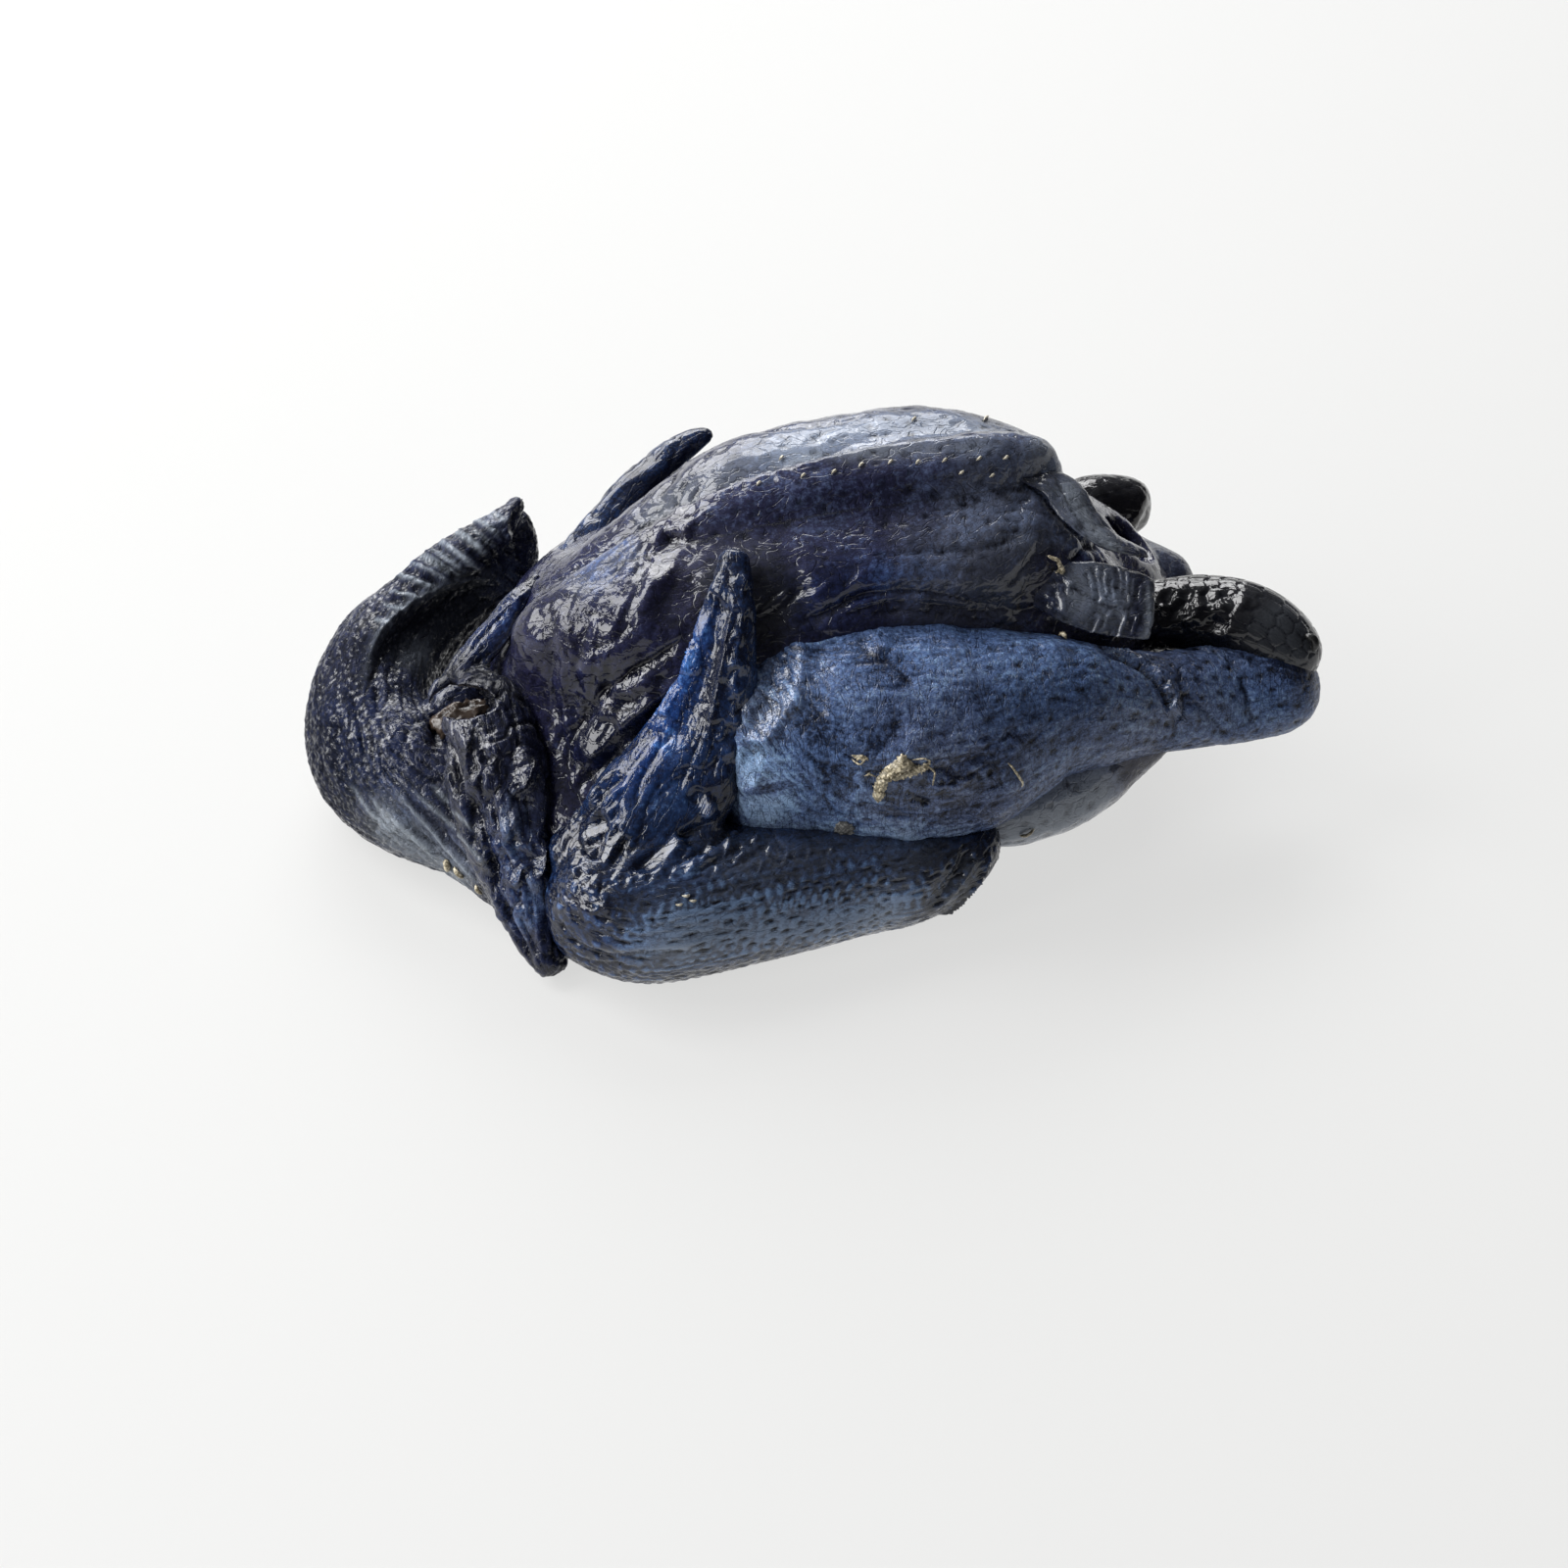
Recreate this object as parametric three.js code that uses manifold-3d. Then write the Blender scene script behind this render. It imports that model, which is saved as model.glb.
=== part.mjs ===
// Whole raw chicken, dressed, lying on its back with its feet tucked into the body.
//
// The bird is one closed solid. It is built from limbs: closed tapering forms that follow a smooth
// spine, joined into one body, hollowed where the skin opens and cut flat where the bird lies on
// the table.
//
// Frame: millimetres, +Z up. +X runs from the curled neck to the tucked feet, +Y to the bird's own
// left side. The origin is on the table, under the middle of the bird. "Near" limbs are on -Y,
// "far" limbs are on +Y.

import * as THREE from 'three';
import { mergeVertices } from 'three/addons/utils/BufferGeometryUtils.js';
import Module from 'manifold-3d';

// ---- driving dimensions ----

const BIRD_LENGTH = 216; // from the bend of the neck to the hock of the near leg
const DRAWN_LENGTH = 216; // the length at which the station lists below are written
const SCALE = BIRD_LENGTH / DRAWN_LENGTH;

const END_CROWDING = 0.6; // 0 spaces a limb's rings evenly, 1 crowds them towards its tips
const LEAST_RADIUS = 0.3; // keeps a limb closed and solid where its stations pinch

const SKIN_COLOUR = 0x232a40;
const SKIN_ROUGHNESS = 0.35;

// ---- limbs ----
//
// A station is [x, y, z, half width, half height]. The first and last stations are the limb's tips.
// "across" is the direction that the half height is measured in, upwards unless the limb says so.

const UP = new THREE.Vector3(0, 0, 1);
const ALONG_BIRD = new THREE.Vector3(1, 0, 0);

const TORSO = [
  {
    name: 'back and sides',
    sides: 26,
    rings: 18,
    stations: [
      [-73, 6, 34, 14, 14],
      [-61, 5, 32, 27, 24],
      [-41, 4, 31, 41, 30],
      [-13, 3, 31, 47, 32],
      [27, 2, 32, 45, 32],
      [57, 1, 32, 34, 26],
      [75, 1, 30, 22, 16],
      [83, 1, 29, 14, 10],
    ],
  },
  {
    name: 'near breast',
    sides: 20,
    rings: 16,
    stations: [
      [-67, 0, 46, 7, 12],
      [-55, -3, 48, 12, 18],
      [-39, -8, 53, 17, 23],
      [-7, -9, 57, 20, 25],
      [29, -7, 59, 19, 23],
      [49, -3, 58, 14, 18],
      [60, 0, 56, 9, 12],
    ],
  },
  {
    name: 'far breast',
    sides: 20,
    rings: 16,
    stations: [
      [-59, 11, 46, 6, 9],
      [-49, 12, 48, 8, 12],
      [-31, 14, 53, 13, 16],
      [-11, 17, 57, 17, 21],
      [7, 17, 57, 18, 23],
      [29, 14, 57, 19, 24],
      [50, 10, 55, 15, 19],
      [60, 8, 54, 8, 12],
    ],
  },
  {
    name: 'keel ridge',
    sides: 12,
    rings: 16,
    stations: [
      [-61, 3, 52, 3, 5],
      [-49, 3, 60, 5, 7],
      [-31, 3, 69, 6, 9],
      [-3, 3, 77, 7, 8.5],
      [31, 3, 79, 7, 7.5],
      [47, 5, 75, 6, 7],
      [56, 6, 70, 5, 5],
    ],
  },
  {
    name: 'tail',
    sides: 14,
    rings: 10,
    stations: [
      [54, 9, 34, 22, 14],
      [66, 9, 33, 19, 12],
      [77, 8, 30, 12, 9],
      [86, 7, 28, 7, 6],
      [91, 6, 27, 4, 4],
    ],
  },
  {
    name: 'skin flap over the vent',
    sides: 16,
    rings: 12,
    stations: [
      [50, 2, 66, 7, 6],
      [53, -12, 63, 10, 6],
      [58, -20, 58, 13, 6],
      [63, -25, 53, 12, 5],
      [67, -28, 50, 6, 4],
    ],
  },
  {
    name: 'loose skin under the near thigh',
    sides: 14,
    rings: 12,
    stations: [
      [26, -38, 12, 6, 7],
      [34, -41, 14, 8, 9],
      [49, -39, 17, 8, 9],
      [64, -38, 21, 6, 8],
      [72, -38, 23, 3, 4],
    ],
  },
];

const LEGS = [
  {
    name: 'near thigh and drumstick',
    sides: 20,
    rings: 20,
    tipLength: [0.6, 1],
    stations: [
      [-27, -27, 34, 13, 14],
      [-19, -27, 34, 17, 18],
      [-3, -29, 37, 21, 23],
      [13, -33, 38, 22, 24],
      [30, -38, 37, 20, 22],
      [47, -38, 35, 15, 18],
      [66, -35, 32, 11.5, 13],
      [83, -33, 30, 10.5, 11.5],
      [96, -34, 29, 9, 10.5],
      [106.5, -33, 29, 7, 8],
    ],
  },
  {
    name: 'near shank, folded back from the hock',
    sides: 16,
    rings: 16,
    stations: [
      [104, -34, 31, 5, 5],
      [99.5, -29, 37, 8, 8],
      [93, -24, 41, 8.5, 9],
      [85, -19, 41, 8.5, 9],
      [76, -17, 41, 8, 8.5],
      [60, -16, 44, 6, 6],
    ],
  },
  {
    name: 'far thigh and drumstick',
    sides: 18,
    rings: 16,
    stations: [
      [-21, 36, 34, 8, 9],
      [-7, 37, 35, 15, 18],
      [19, 36, 37, 17, 20],
      [41, 33, 35, 13, 16],
      [59, 29, 31, 9.5, 11],
      [72, 25, 27, 8, 8],
      [79, 23, 25, 6, 6],
    ],
  },
  {
    name: 'far shank, folded back from the hock',
    sides: 14,
    rings: 12,
    stations: [
      [88, 30, 25, 5, 5],
      [84, 32, 27, 7.5, 8],
      [77, 32, 30, 7.5, 8],
      [67, 30, 33, 7, 7],
    ],
  },
];

const WINGS = [
  {
    name: 'near wing, upper arm and forearm pressed together',
    sides: 18,
    rings: 18,
    stations: [
      [-69, -40, 18, 9, 11],
      [-61, -45, 17, 13, 15],
      [-51, -49, 16, 16, 17],
      [-37, -51, 16, 15, 17],
      [-5, -50, 14, 13, 15],
      [8, -53, 14, 12, 13],
      [20, -54, 14, 9, 10],
      [26, -54, 14, 5, 6],
    ],
  },
  {
    name: 'near shoulder skin',
    sides: 14,
    rings: 12,
    across: ALONG_BIRD,
    stations: [
      [-58, 4, 36, 7, 9],
      [-57, -11, 30, 12, 14],
      [-57, -28, 22, 12, 13],
      [-56, -39, 18, 10, 10],
    ],
  },
  {
    name: 'near wing tip, laid up against the breast',
    sides: 14,
    rings: 16,
    stations: [
      [-58, -42, 24, 10, 7],
      [-49, -41, 30, 13, 8],
      [-39, -37, 41, 11, 6],
      [-32, -31, 54, 8, 5],
      [-28, -25, 66, 5.5, 4],
      [-23, -14, 77, 2.5, 2],
    ],
  },
  {
    name: 'near thumb of the wing',
    sides: 10,
    rings: 8,
    stations: [
      [-52, -43, 27, 4, 4],
      [-41, -44, 34, 4, 4],
      [-34, -42, 37, 3, 3],
    ],
  },
  {
    name: 'far wing, upper arm and forearm pressed together',
    sides: 16,
    rings: 14,
    stations: [
      [-53, 44, 15, 7, 8],
      [-43, 47, 14, 11, 12],
      [-21, 52, 13, 13, 14],
      [1, 54, 13, 12, 14],
      [23, 54, 12, 10, 12],
      [33, 53, 12, 6, 7],
    ],
  },
  {
    name: 'far wing tip',
    sides: 12,
    rings: 16,
    stations: [
      [-57, 21, 30, 6, 5],
      [-49, 25, 38, 5.5, 4.5],
      [-39, 33, 43, 5, 4],
      [-27, 42, 50, 4.6, 4],
      [-17, 46, 57, 3.6, 3.2],
      [-12, 48, 60, 1.6, 1.6],
    ],
  },
];

const NECK = [
  {
    name: 'neck, curled round the shoulder',
    sides: 20,
    rings: 22,
    stations: [
      [-68, -42, 7, 6, 8],
      [-72, -27, 10, 10, 11],
      [-78, -14, 14, 12, 14],
      [-86, -1, 16, 14.5, 17],
      [-93, 13, 17, 15, 18],
      [-89, 29, 20, 13, 19],
      [-78, 41, 22, 10, 18],
      [-65, 49, 25, 8.5, 17],
      [-55, 54, 27, 6, 14],
      [-49, 57, 27, 4, 9],
    ],
  },
  {
    name: 'pointed skin at the cut end of the neck',
    sides: 10,
    rings: 10,
    stations: [
      [-74, 41, 38, 5, 5],
      [-61, 46, 42, 4.5, 4.5],
      [-52, 53, 45, 1.5, 1.5],
    ],
  },
  {
    name: 'crop skin hanging in front of the shoulder',
    sides: 14,
    rings: 16,
    across: ALONG_BIRD,
    stations: [
      [-73, 2, 42, 8, 10],
      [-74, -10, 42, 10, 12],
      [-74, -20, 34, 11, 13],
      [-74, -29, 22, 9, 11],
      [-71, -40, 11, 7, 9],
      [-70, -51, 3, 4, 5],
    ],
  },
  {
    name: 'fold of skin over the crop opening',
    sides: 10,
    rings: 10,
    stations: [
      [-84, 2, 40, 3, 3],
      [-80, 4, 43, 4, 4],
      [-73, 1, 45, 4, 4],
      [-68, -5, 44, 3, 3],
    ],
  },
  {
    name: 'pointed fold between neck and breast',
    sides: 10,
    rings: 10,
    stations: [
      [-79, 1, 42, 5, 4],
      [-70, 7, 48, 6, 3],
      [-62, 13, 52, 3.5, 2],
      [-56, 18, 54, 1, 1],
    ],
  },
];

// Hollows are limbs too. Their first stations stand outside the skin, so each one is open.
const HOLLOWS = [
  {
    name: 'crop opening',
    sides: 12,
    rings: 10,
    stations: [
      [-84, -22, 52, 4, 3],
      [-80, -10, 46, 5, 3.5],
      [-77, -2, 38, 5, 3.5],
      [-74, 4, 32, 3, 2],
    ],
  },
  {
    name: 'vent opening',
    sides: 12,
    rings: 10,
    stations: [
      [84, -2, 52, 5, 5],
      [74, 2, 47, 6, 6],
      [60, 6, 42, 6, 6],
      [50, 8, 40, 3, 3],
    ],
  },
];

// ---- geometry ----

const wasm = await Module();
wasm.setup();

// A smooth curve through the stations. Its parameter runs from 0 at the first to 1 at the last.
function curveThrough(points) {
  return new THREE.CatmullRomCurve3(points, false, 'catmullrom', 0.5);
}

// A limb is a unit ball whose every ring of latitude is moved to its place along the spine and
// stretched to the limb's half width and half height there, so it is closed from tip to tip.
function limbGeometry(limb) {
  const { stations, sides, rings, across = UP, tipLength = [1, 1] } = limb;
  const spine = curveThrough(stations.map(([x, y, z]) => new THREE.Vector3(x, y, z)));
  const girth = curveThrough(stations.map(([, , , width, height]) => new THREE.Vector3(width, height, 0)));
  const first = stations[0];
  const last = stations[stations.length - 1];
  const firstTip = tipLength[0] * Math.min(first[3], first[4]);
  const lastTip = tipLength[1] * Math.min(last[3], last[4]);
  const length = spine.getLength();

  const ball = new THREE.SphereGeometry(1, sides, rings);
  ball.deleteAttribute('normal');
  ball.deleteAttribute('uv');
  const shape = mergeVertices(ball);
  const position = shape.attributes.position;
  const vertex = new THREE.Vector3();
  const rim = new THREE.Vector2();

  for (let i = 0; i < position.count; i++) {
    vertex.fromBufferAttribute(position, i);
    const latitude = Math.acos(THREE.MathUtils.clamp(vertex.y, -1, 1)) / Math.PI;
    const along = THREE.MathUtils.lerp(latitude, (1 - vertex.y) / 2, END_CROWDING);
    const centre = spine.getPoint(along);
    const size = girth.getPoint(along);

    const forward = spine.getTangent(along);
    const height = across.clone().addScaledVector(forward, -across.dot(forward)).normalize();
    const width = new THREE.Vector3().crossVectors(height, forward);

    const fromFirst = along * length;
    const fromLast = (1 - along) * length;
    const rounding = tipRounding(fromFirst, firstTip) * tipRounding(fromLast, lastTip);
    rim.set(vertex.x, vertex.z);
    if (rim.length() > 0) {
      rim.normalize();
    }
    centre.addScaledVector(width, rim.x * Math.max(size.x, LEAST_RADIUS) * rounding);
    centre.addScaledVector(height, rim.y * Math.max(size.y, LEAST_RADIUS) * rounding);
    centre.multiplyScalar(SCALE);
    position.setXYZ(i, centre.x, centre.y, centre.z);
  }
  return shape;
}

// The share of its full girth that a limb has at a distance from a rounded tip.
function tipRounding(distance, tip) {
  const reach = Math.min(distance / tip, 1);
  return Math.sqrt(1 - (1 - reach) ** 2);
}

function toSolid(geometry) {
  return new wasm.Manifold(new wasm.Mesh({
    numProp: 3,
    vertProperties: new Float32Array(geometry.attributes.position.array),
    triVerts: new Uint32Array(geometry.index.array),
  }));
}

function toGeometry(solid) {
  const mesh = solid.getMesh();
  const geometry = new THREE.BufferGeometry();
  geometry.setAttribute('position', new THREE.BufferAttribute(new Float32Array(mesh.vertProperties), 3));
  geometry.setIndex(new THREE.BufferAttribute(new Uint32Array(mesh.triVerts), 1));
  geometry.computeVertexNormals();
  return geometry;
}

function joinLimbs(limbs) {
  return limbs.map((limb) => toSolid(limbGeometry(limb))).reduce((whole, limb) => whole.add(limb));
}

// Everything below the table top: what the bird's weight presses flat is cut away with it.
function tableSolid() {
  const size = 2 * BIRD_LENGTH;
  const table = new THREE.BoxGeometry(size, size, size);
  table.translate(0, 0, -size / 2);
  table.deleteAttribute('normal');
  table.deleteAttribute('uv');
  return toSolid(mergeVertices(table));
}

// ---- the bird ----

const limbs = [...TORSO, ...LEGS, ...WINGS, ...NECK];
const body = joinLimbs(limbs).subtract(joinLimbs(HOLLOWS)).subtract(tableSolid());

const skin = new THREE.MeshStandardMaterial({ color: SKIN_COLOUR, roughness: SKIN_ROUGHNESS, metalness: 0 });
const chicken = new THREE.Mesh(toGeometry(body), skin);
chicken.name = 'chicken';

const group = new THREE.Group();
group.add(chicken);

export default group;
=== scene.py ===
import math

import bpy
import numpy as np
from bpy.props import FloatProperty, FloatVectorProperty, PointerProperty
from bpy.types import Operator, Panel, PropertyGroup
from mathutils import Matrix, Vector
from mathutils.bvhtree import BVHTree


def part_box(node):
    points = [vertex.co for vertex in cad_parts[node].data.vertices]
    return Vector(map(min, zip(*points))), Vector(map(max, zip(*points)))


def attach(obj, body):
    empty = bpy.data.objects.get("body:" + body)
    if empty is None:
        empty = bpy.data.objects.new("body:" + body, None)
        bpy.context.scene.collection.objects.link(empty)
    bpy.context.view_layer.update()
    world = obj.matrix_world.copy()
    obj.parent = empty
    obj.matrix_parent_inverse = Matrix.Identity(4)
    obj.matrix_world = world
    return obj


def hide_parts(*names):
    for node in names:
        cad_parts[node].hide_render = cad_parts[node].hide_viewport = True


bl_info = {
    "name": "Raw Black-Skinned Chicken",
    "version": (1, 0, 0),
    "blender": (4, 5, 0),
    "location": "View3D > Sidebar > Chicken",
    "description": "Builds a whole raw black-skinned chicken, folded as a poulterer sells it",
    "category": "Add Mesh",
}

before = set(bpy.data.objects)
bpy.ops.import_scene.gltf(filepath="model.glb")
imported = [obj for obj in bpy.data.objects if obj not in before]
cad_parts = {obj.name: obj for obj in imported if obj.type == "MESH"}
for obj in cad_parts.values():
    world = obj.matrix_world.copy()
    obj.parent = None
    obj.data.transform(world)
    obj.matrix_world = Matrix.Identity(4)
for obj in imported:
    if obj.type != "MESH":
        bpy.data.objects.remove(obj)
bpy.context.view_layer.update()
CAD_LOW, CAD_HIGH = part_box("chicken")

MM = 0.001

# ---------------------------------------------------------------- main view
# The folds are drawn as strokes in the picture plane of the main camera, which
# is PICTURE units wide, and land on whatever skin lies behind them.
PICTURE = 1600
VIEW_TARGET = np.array([-7.5, -6.0, 0.0])
VIEW_ELEVATION = math.radians(45.0)
VIEW_AZIMUTH = math.radians(-15.0)
VIEW_DISTANCE = 1100.0
VIEW_FOCAL = 5031.0
SENSOR = 36.0
BACK = np.array([
    math.sin(VIEW_AZIMUTH) * math.cos(VIEW_ELEVATION),
    -math.cos(VIEW_AZIMUTH) * math.cos(VIEW_ELEVATION),
    math.sin(VIEW_ELEVATION),
])
RIGHT = np.array([math.cos(VIEW_AZIMUTH), math.sin(VIEW_AZIMUTH), 0.0])
UP = np.cross(BACK, RIGHT)
BRIGHT_SIDE = (-0.50, 0.65, 0.57)
# Tall windows to the left and behind: azimuth and elevation in degrees, width and height in
# metres, and how bright each is beside the others.
WINDOWS = {
    "front": (-70, 30, 0.28, 0.56, 1.0), "left": (-101, 32, 0.42, 0.66, 1.0),
    "corner": (-126, 43, 0.46, 0.84, 1.15), "back": (-171, 34, 0.52, 0.80, 0.80),
    "far": (-197, 34, 0.50, 0.75, 0.75)}
EYE = VIEW_TARGET + BACK * VIEW_DISTANCE

# ---------------------------------------------------------------- the bird's limbs
# Each limb is a row of stations: x, y, z, half width, half height in millimetres.
# The first and the last station are its tips.
ACROSS = (1, 0, 0)
UPRIGHT = (0, 0, 1)

TORSO = {
    "back_and_sides": [
        (-73, 6, 34, 14, 14), (-61, 5, 32, 27, 24), (-41, 4, 31, 41, 30), (-13, 3, 31, 47, 32),
        (27, 2, 32, 45, 32), (57, 1, 32, 34, 26), (75, 1, 30, 22, 16), (83, 1, 29, 14, 10)],
    "near_breast": [
        (-67, 0, 46, 7, 12), (-55, -3, 48, 12, 18), (-39, -9, 51, 17, 22), (-7, -10, 54, 20, 24),
        (29, -9, 55, 19, 22), (49, -4, 56, 14, 18), (60, -1, 55, 9, 12)],
    "far_breast": [
        (-59, 11, 46, 6, 9), (-49, 12, 48, 8, 12), (-31, 14, 53, 13, 16), (-11, 17, 57, 17, 21),
        (7, 17, 57, 18, 23), (29, 14, 57, 19, 24), (50, 10, 55, 15, 19), (60, 8, 54, 8, 12)],
    "keel": [
        (-61, 3, 52, 3, 5), (-49, 2, 60, 5, 7), (-31, 1, 69, 6, 9), (-3, 1, 77, 7, 8.5),
        (31, 1, 79, 7, 7.5), (47, 3, 75.5, 6, 7), (56, 5, 71, 5, 5)],
    "flank": [
        (22, -38, 16, 6, 7), (32, -42, 17, 8, 9), (48, -40, 18, 8, 10), (62, -38, 25, 6, 8),
        (72, -38, 28, 3, 4)],
    "vent_flap": [
        (50, 2, 66, 7, 6), (52, -10, 62, 9, 6), (55, -15, 57, 10, 6), (60, -20, 52, 9, 5),
        (64, -23, 49, 5, 4)],
}
VENT_SKIN = {
    "flap": [
        (43, -19, 60, 4, 1.8), (53, -24, 59.5, 8, 1.7), (63, -27, 57, 8.2, 1.5),
        (69, -28.5, 55, 7.2, 1.1)],
    "rim": [
        (45, 0, 76, 3.0, 1.0), (53.5, -5, 74, 5.0, 1.2), (57, -11.5, 70.5, 5.2, 1.2),
        (62.5, -16.5, 66, 4.4, 1.2), (71, -18, 61, 2.4, 0.9)],
}
VENT_FACING = {"flap": (-0.45, -0.30, 0.84), "rim": (0.05, 0.10, 0.99)}
SHOULDER = [
    (-58, 4, 36, 7, 9), (-57, -11, 30, 12, 14), (-57, -28, 22, 12, 13), (-56, -39, 18, 10, 10)]
TAIL = [
    (54, 9, 34, 22, 14), (66, 9, 33, 19, 12), (77, 8, 30, 12, 9), (86, 7, 28, 7, 6), (91, 6, 27, 4, 4)]
NEAR_THIGH = [
    (-32, -27, 35, 14, 17), (-23, -28, 35, 19.5, 23), (-5, -30, 37.5, 23, 26.5),
    (12, -34, 38, 24, 26.5), (24, -36.5, 38.4, 22, 24.5), (34, -37, 39.4, 18.5, 21),
    (44, -37, 39.5, 14.5, 17.2), (54, -36.5, 37, 12.2, 14.2), (68, -35, 33.4, 10.5, 11.7),
    (83, -33, 30, 10.5, 11.5), (96, -34, 29, 9, 10.5), (106.5, -33, 29, 7, 8)]
NEAR_SHANK = [
    (104, -34, 31, 5, 5), (99.5, -29, 37, 8, 8), (93, -24, 41, 8.5, 9), (85, -19, 41, 8.5, 9),
    (76, -17, 41, 8, 8.5), (60, -16, 44, 6, 6)]
FAR_THIGH = [
    (-21, 36, 34, 8, 9), (-7, 37, 35, 15, 18), (19, 36, 37, 17, 20), (41, 33, 35, 13, 16),
    (59, 29, 31, 9.5, 11), (72, 25, 27, 8, 8), (79, 23, 25, 6, 6)]
FAR_SHANK = [
    (88, 30, 25, 5, 5), (84, 32, 27, 7.5, 8), (77, 32, 30, 7.5, 8), (67, 30, 33, 7, 7)]
NEAR_WING = {
    "forearm": [
        (-69, -40, 18, 9, 11), (-61, -45, 17, 13, 15), (-51, -49, 16, 16, 17),
        (-37, -51, 16, 15, 17), (-5, -50, 14.5, 13, 15), (8, -52, 15, 12, 12.5),
        (19, -52, 17.5, 9.5, 9), (28, -51, 21, 4, 3.5)],
    "hand": [
        (-58, -42, 24, 10, 7), (-49, -41, 30, 14, 8), (-38, -37, 41, 13, 6),
        (-30, -31, 54, 9.5, 5), (-25, -25, 67, 6.5, 4), (-20, -13, 80, 3, 2.2)],
    "thumb": [(-52, -43, 27, 4, 4), (-41, -44, 34, 4, 4), (-34, -42, 37, 3, 3)],
    "shoulder": [
        (-46, -39, 32, 6, 5), (-54, -37, 28, 7, 7), (-60, -37, 22, 8, 9), (-64, -40, 17, 7, 9)],
}
HAND_FACING = (-0.34, -0.72, 0.60)
FAR_WING = {
    "forearm": [
        (-53, 44, 15, 7, 8), (-43, 47, 14, 11, 12), (-21, 52, 13, 13, 14), (1, 54, 13, 12, 14),
        (23, 54, 12, 10, 12), (33, 53, 12, 6, 7)],
    "hand": [
        (-61, 14, 39, 5, 4.5), (-53, 20, 47, 4.6, 4), (-42.5, 28, 52, 4.4, 3.6), (-28.5, 39, 55.5, 4.2, 3.5),
        (-17, 45.5, 58, 3.6, 3.2), (-9.5, 46.5, 60.5, 1.8, 1.6)],
}
NECK = {
    "neck": [
        (-68, -42, 7, 6, 8), (-72, -27, 10, 10, 11), (-79, -14.5, 14, 12, 14),
        (-88.5, -2, 16, 15, 17.5), (-96, 12, 17, 15, 18.5), (-91, 28.5, 20, 13.5, 19),
        (-78, 41, 22, 10, 18), (-65, 49, 25, 8.5, 17), (-55, 54, 27, 6, 14), (-49, 57, 27, 4, 9)],
    "neck_point": [(-74, 41, 38, 5, 5), (-61, 46, 42, 4.5, 4.5), (-52, 53, 45, 1.5, 1.5)],
}
CROP = [
    (-73, 1, 38, 7, 7), (-74, -9, 40, 9, 10), (-74, -19, 33, 10, 12), (-73, -29, 22, 9, 11),
    (-71, -40, 11, 7, 9), (-71, -52, 2.5, 2.5, 3)]
CROP_FOLDS = {
    "backing": [(-85, 3, 27, 3, 4), (-80, 5.5, 30, 5, 6.5), (-74, 6.5, 32, 5, 6.5), (-67, 6, 32, 4, 6)],
    "eyelid": [
        (-85, 0, 38, 1.8, 1.6), (-81, 3, 42, 2.0, 1.5), (-74, 1, 44.5, 2.1, 1.5), (-68, -5, 44, 2, 1.6)],
    "blade": [
        (-80, 2, 41, 3.6, 3.4), (-70, 7, 47.5, 4.2, 2.4), (-62, 13, 52, 3, 1.7), (-56, 18, 54, 1, 0.8)],
}
CROP_OPENING = [
    (-83, -20, 58, 6.0, 3.0), (-80, -10, 47.5, 7.2, 3.5), (-78, -2, 39, 7.0, 3.5), (-76.5, 1.5, 35, 4, 2)]
CROP_FLESH = [
    (-82.5, 1, 25.5, 3.6, 4), (-79.5, 0.6, 29, 6, 6.2), (-74, 0.4, 30.5, 6, 6.2), (-68, 1.5, 29.5, 4, 4.5)]
VENT_OPENING = [(84, -2, 52, 5, 5), (74, 2, 47, 6, 6), (60, 6, 42, 6, 6), (50, 8, 40, 3, 3)]


# ---------------------------------------------------------------- curves and noise
def through(points, s):
    """Values at parameter s of the smooth curve through the rows of points."""
    points = np.asarray(points, float)
    last = len(points) - 1
    rows = np.vstack([2 * points[0] - points[1], points, 2 * points[-1] - points[-2]])
    i = np.clip(s.astype(int), 0, last - 1)
    t = (s - i)[:, None]
    a, b, c, d = rows[i], rows[i + 1], rows[i + 2], rows[i + 3]
    return 0.5 * (2 * b + (c - a) * t + (2 * a - 5 * b + 4 * c - d) * t ** 2
                  + (3 * b - a - 3 * c + d) * t ** 3)


def unit(v):
    """The same directions, one long."""
    return v / np.maximum(np.linalg.norm(v, axis=-1, keepdims=True), 1e-12)


def toward_window(name):
    """The direction from the bird to one of the windows."""
    turn, lift = np.radians(WINDOWS[name][:2])
    return np.array([math.sin(turn) * math.cos(lift), -math.cos(turn) * math.cos(lift), math.sin(lift)])


class Noise:
    """Smooth gradient noise in space, between about -1 and 1."""

    def __init__(self, seed):
        random = np.random.default_rng(seed)
        self.order = random.permutation(256).astype(np.int32)
        self.slopes = unit(random.normal(size=(256, 3))).astype(np.float32)

    def __call__(self, p):
        cell = np.floor(p).astype(np.int32)
        f = (p - cell).astype(np.float32)
        w = f * f * f * (f * (f * 6 - 15) + 10)
        out = np.zeros(len(p), np.float32)
        for i in (0, 1):
            a = self.order[(cell[:, 0] + i) & 255]
            wi = w[:, 0] if i else 1 - w[:, 0]
            for j in (0, 1):
                b = self.order[(a + cell[:, 1] + j) & 255]
                wj = wi * (w[:, 1] if j else 1 - w[:, 1])
                for k in (0, 1):
                    g = self.slopes[self.order[(b + cell[:, 2] + k) & 255]]
                    wk = wj * (w[:, 2] if k else 1 - w[:, 2])
                    out += wk * ((f[:, 0] - i) * g[:, 0] + (f[:, 1] - j) * g[:, 1]
                                 + (f[:, 2] - k) * g[:, 2])
        return out * 1.7


def faded_ends(part, path, low, high):
    """Fades a stroke out towards both ends, unless it is a single point."""
    if len(path) == 1:
        return 1.0
    return np.minimum(smoothstep(part, low, high), smoothstep(1 - part, low, high))


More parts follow.
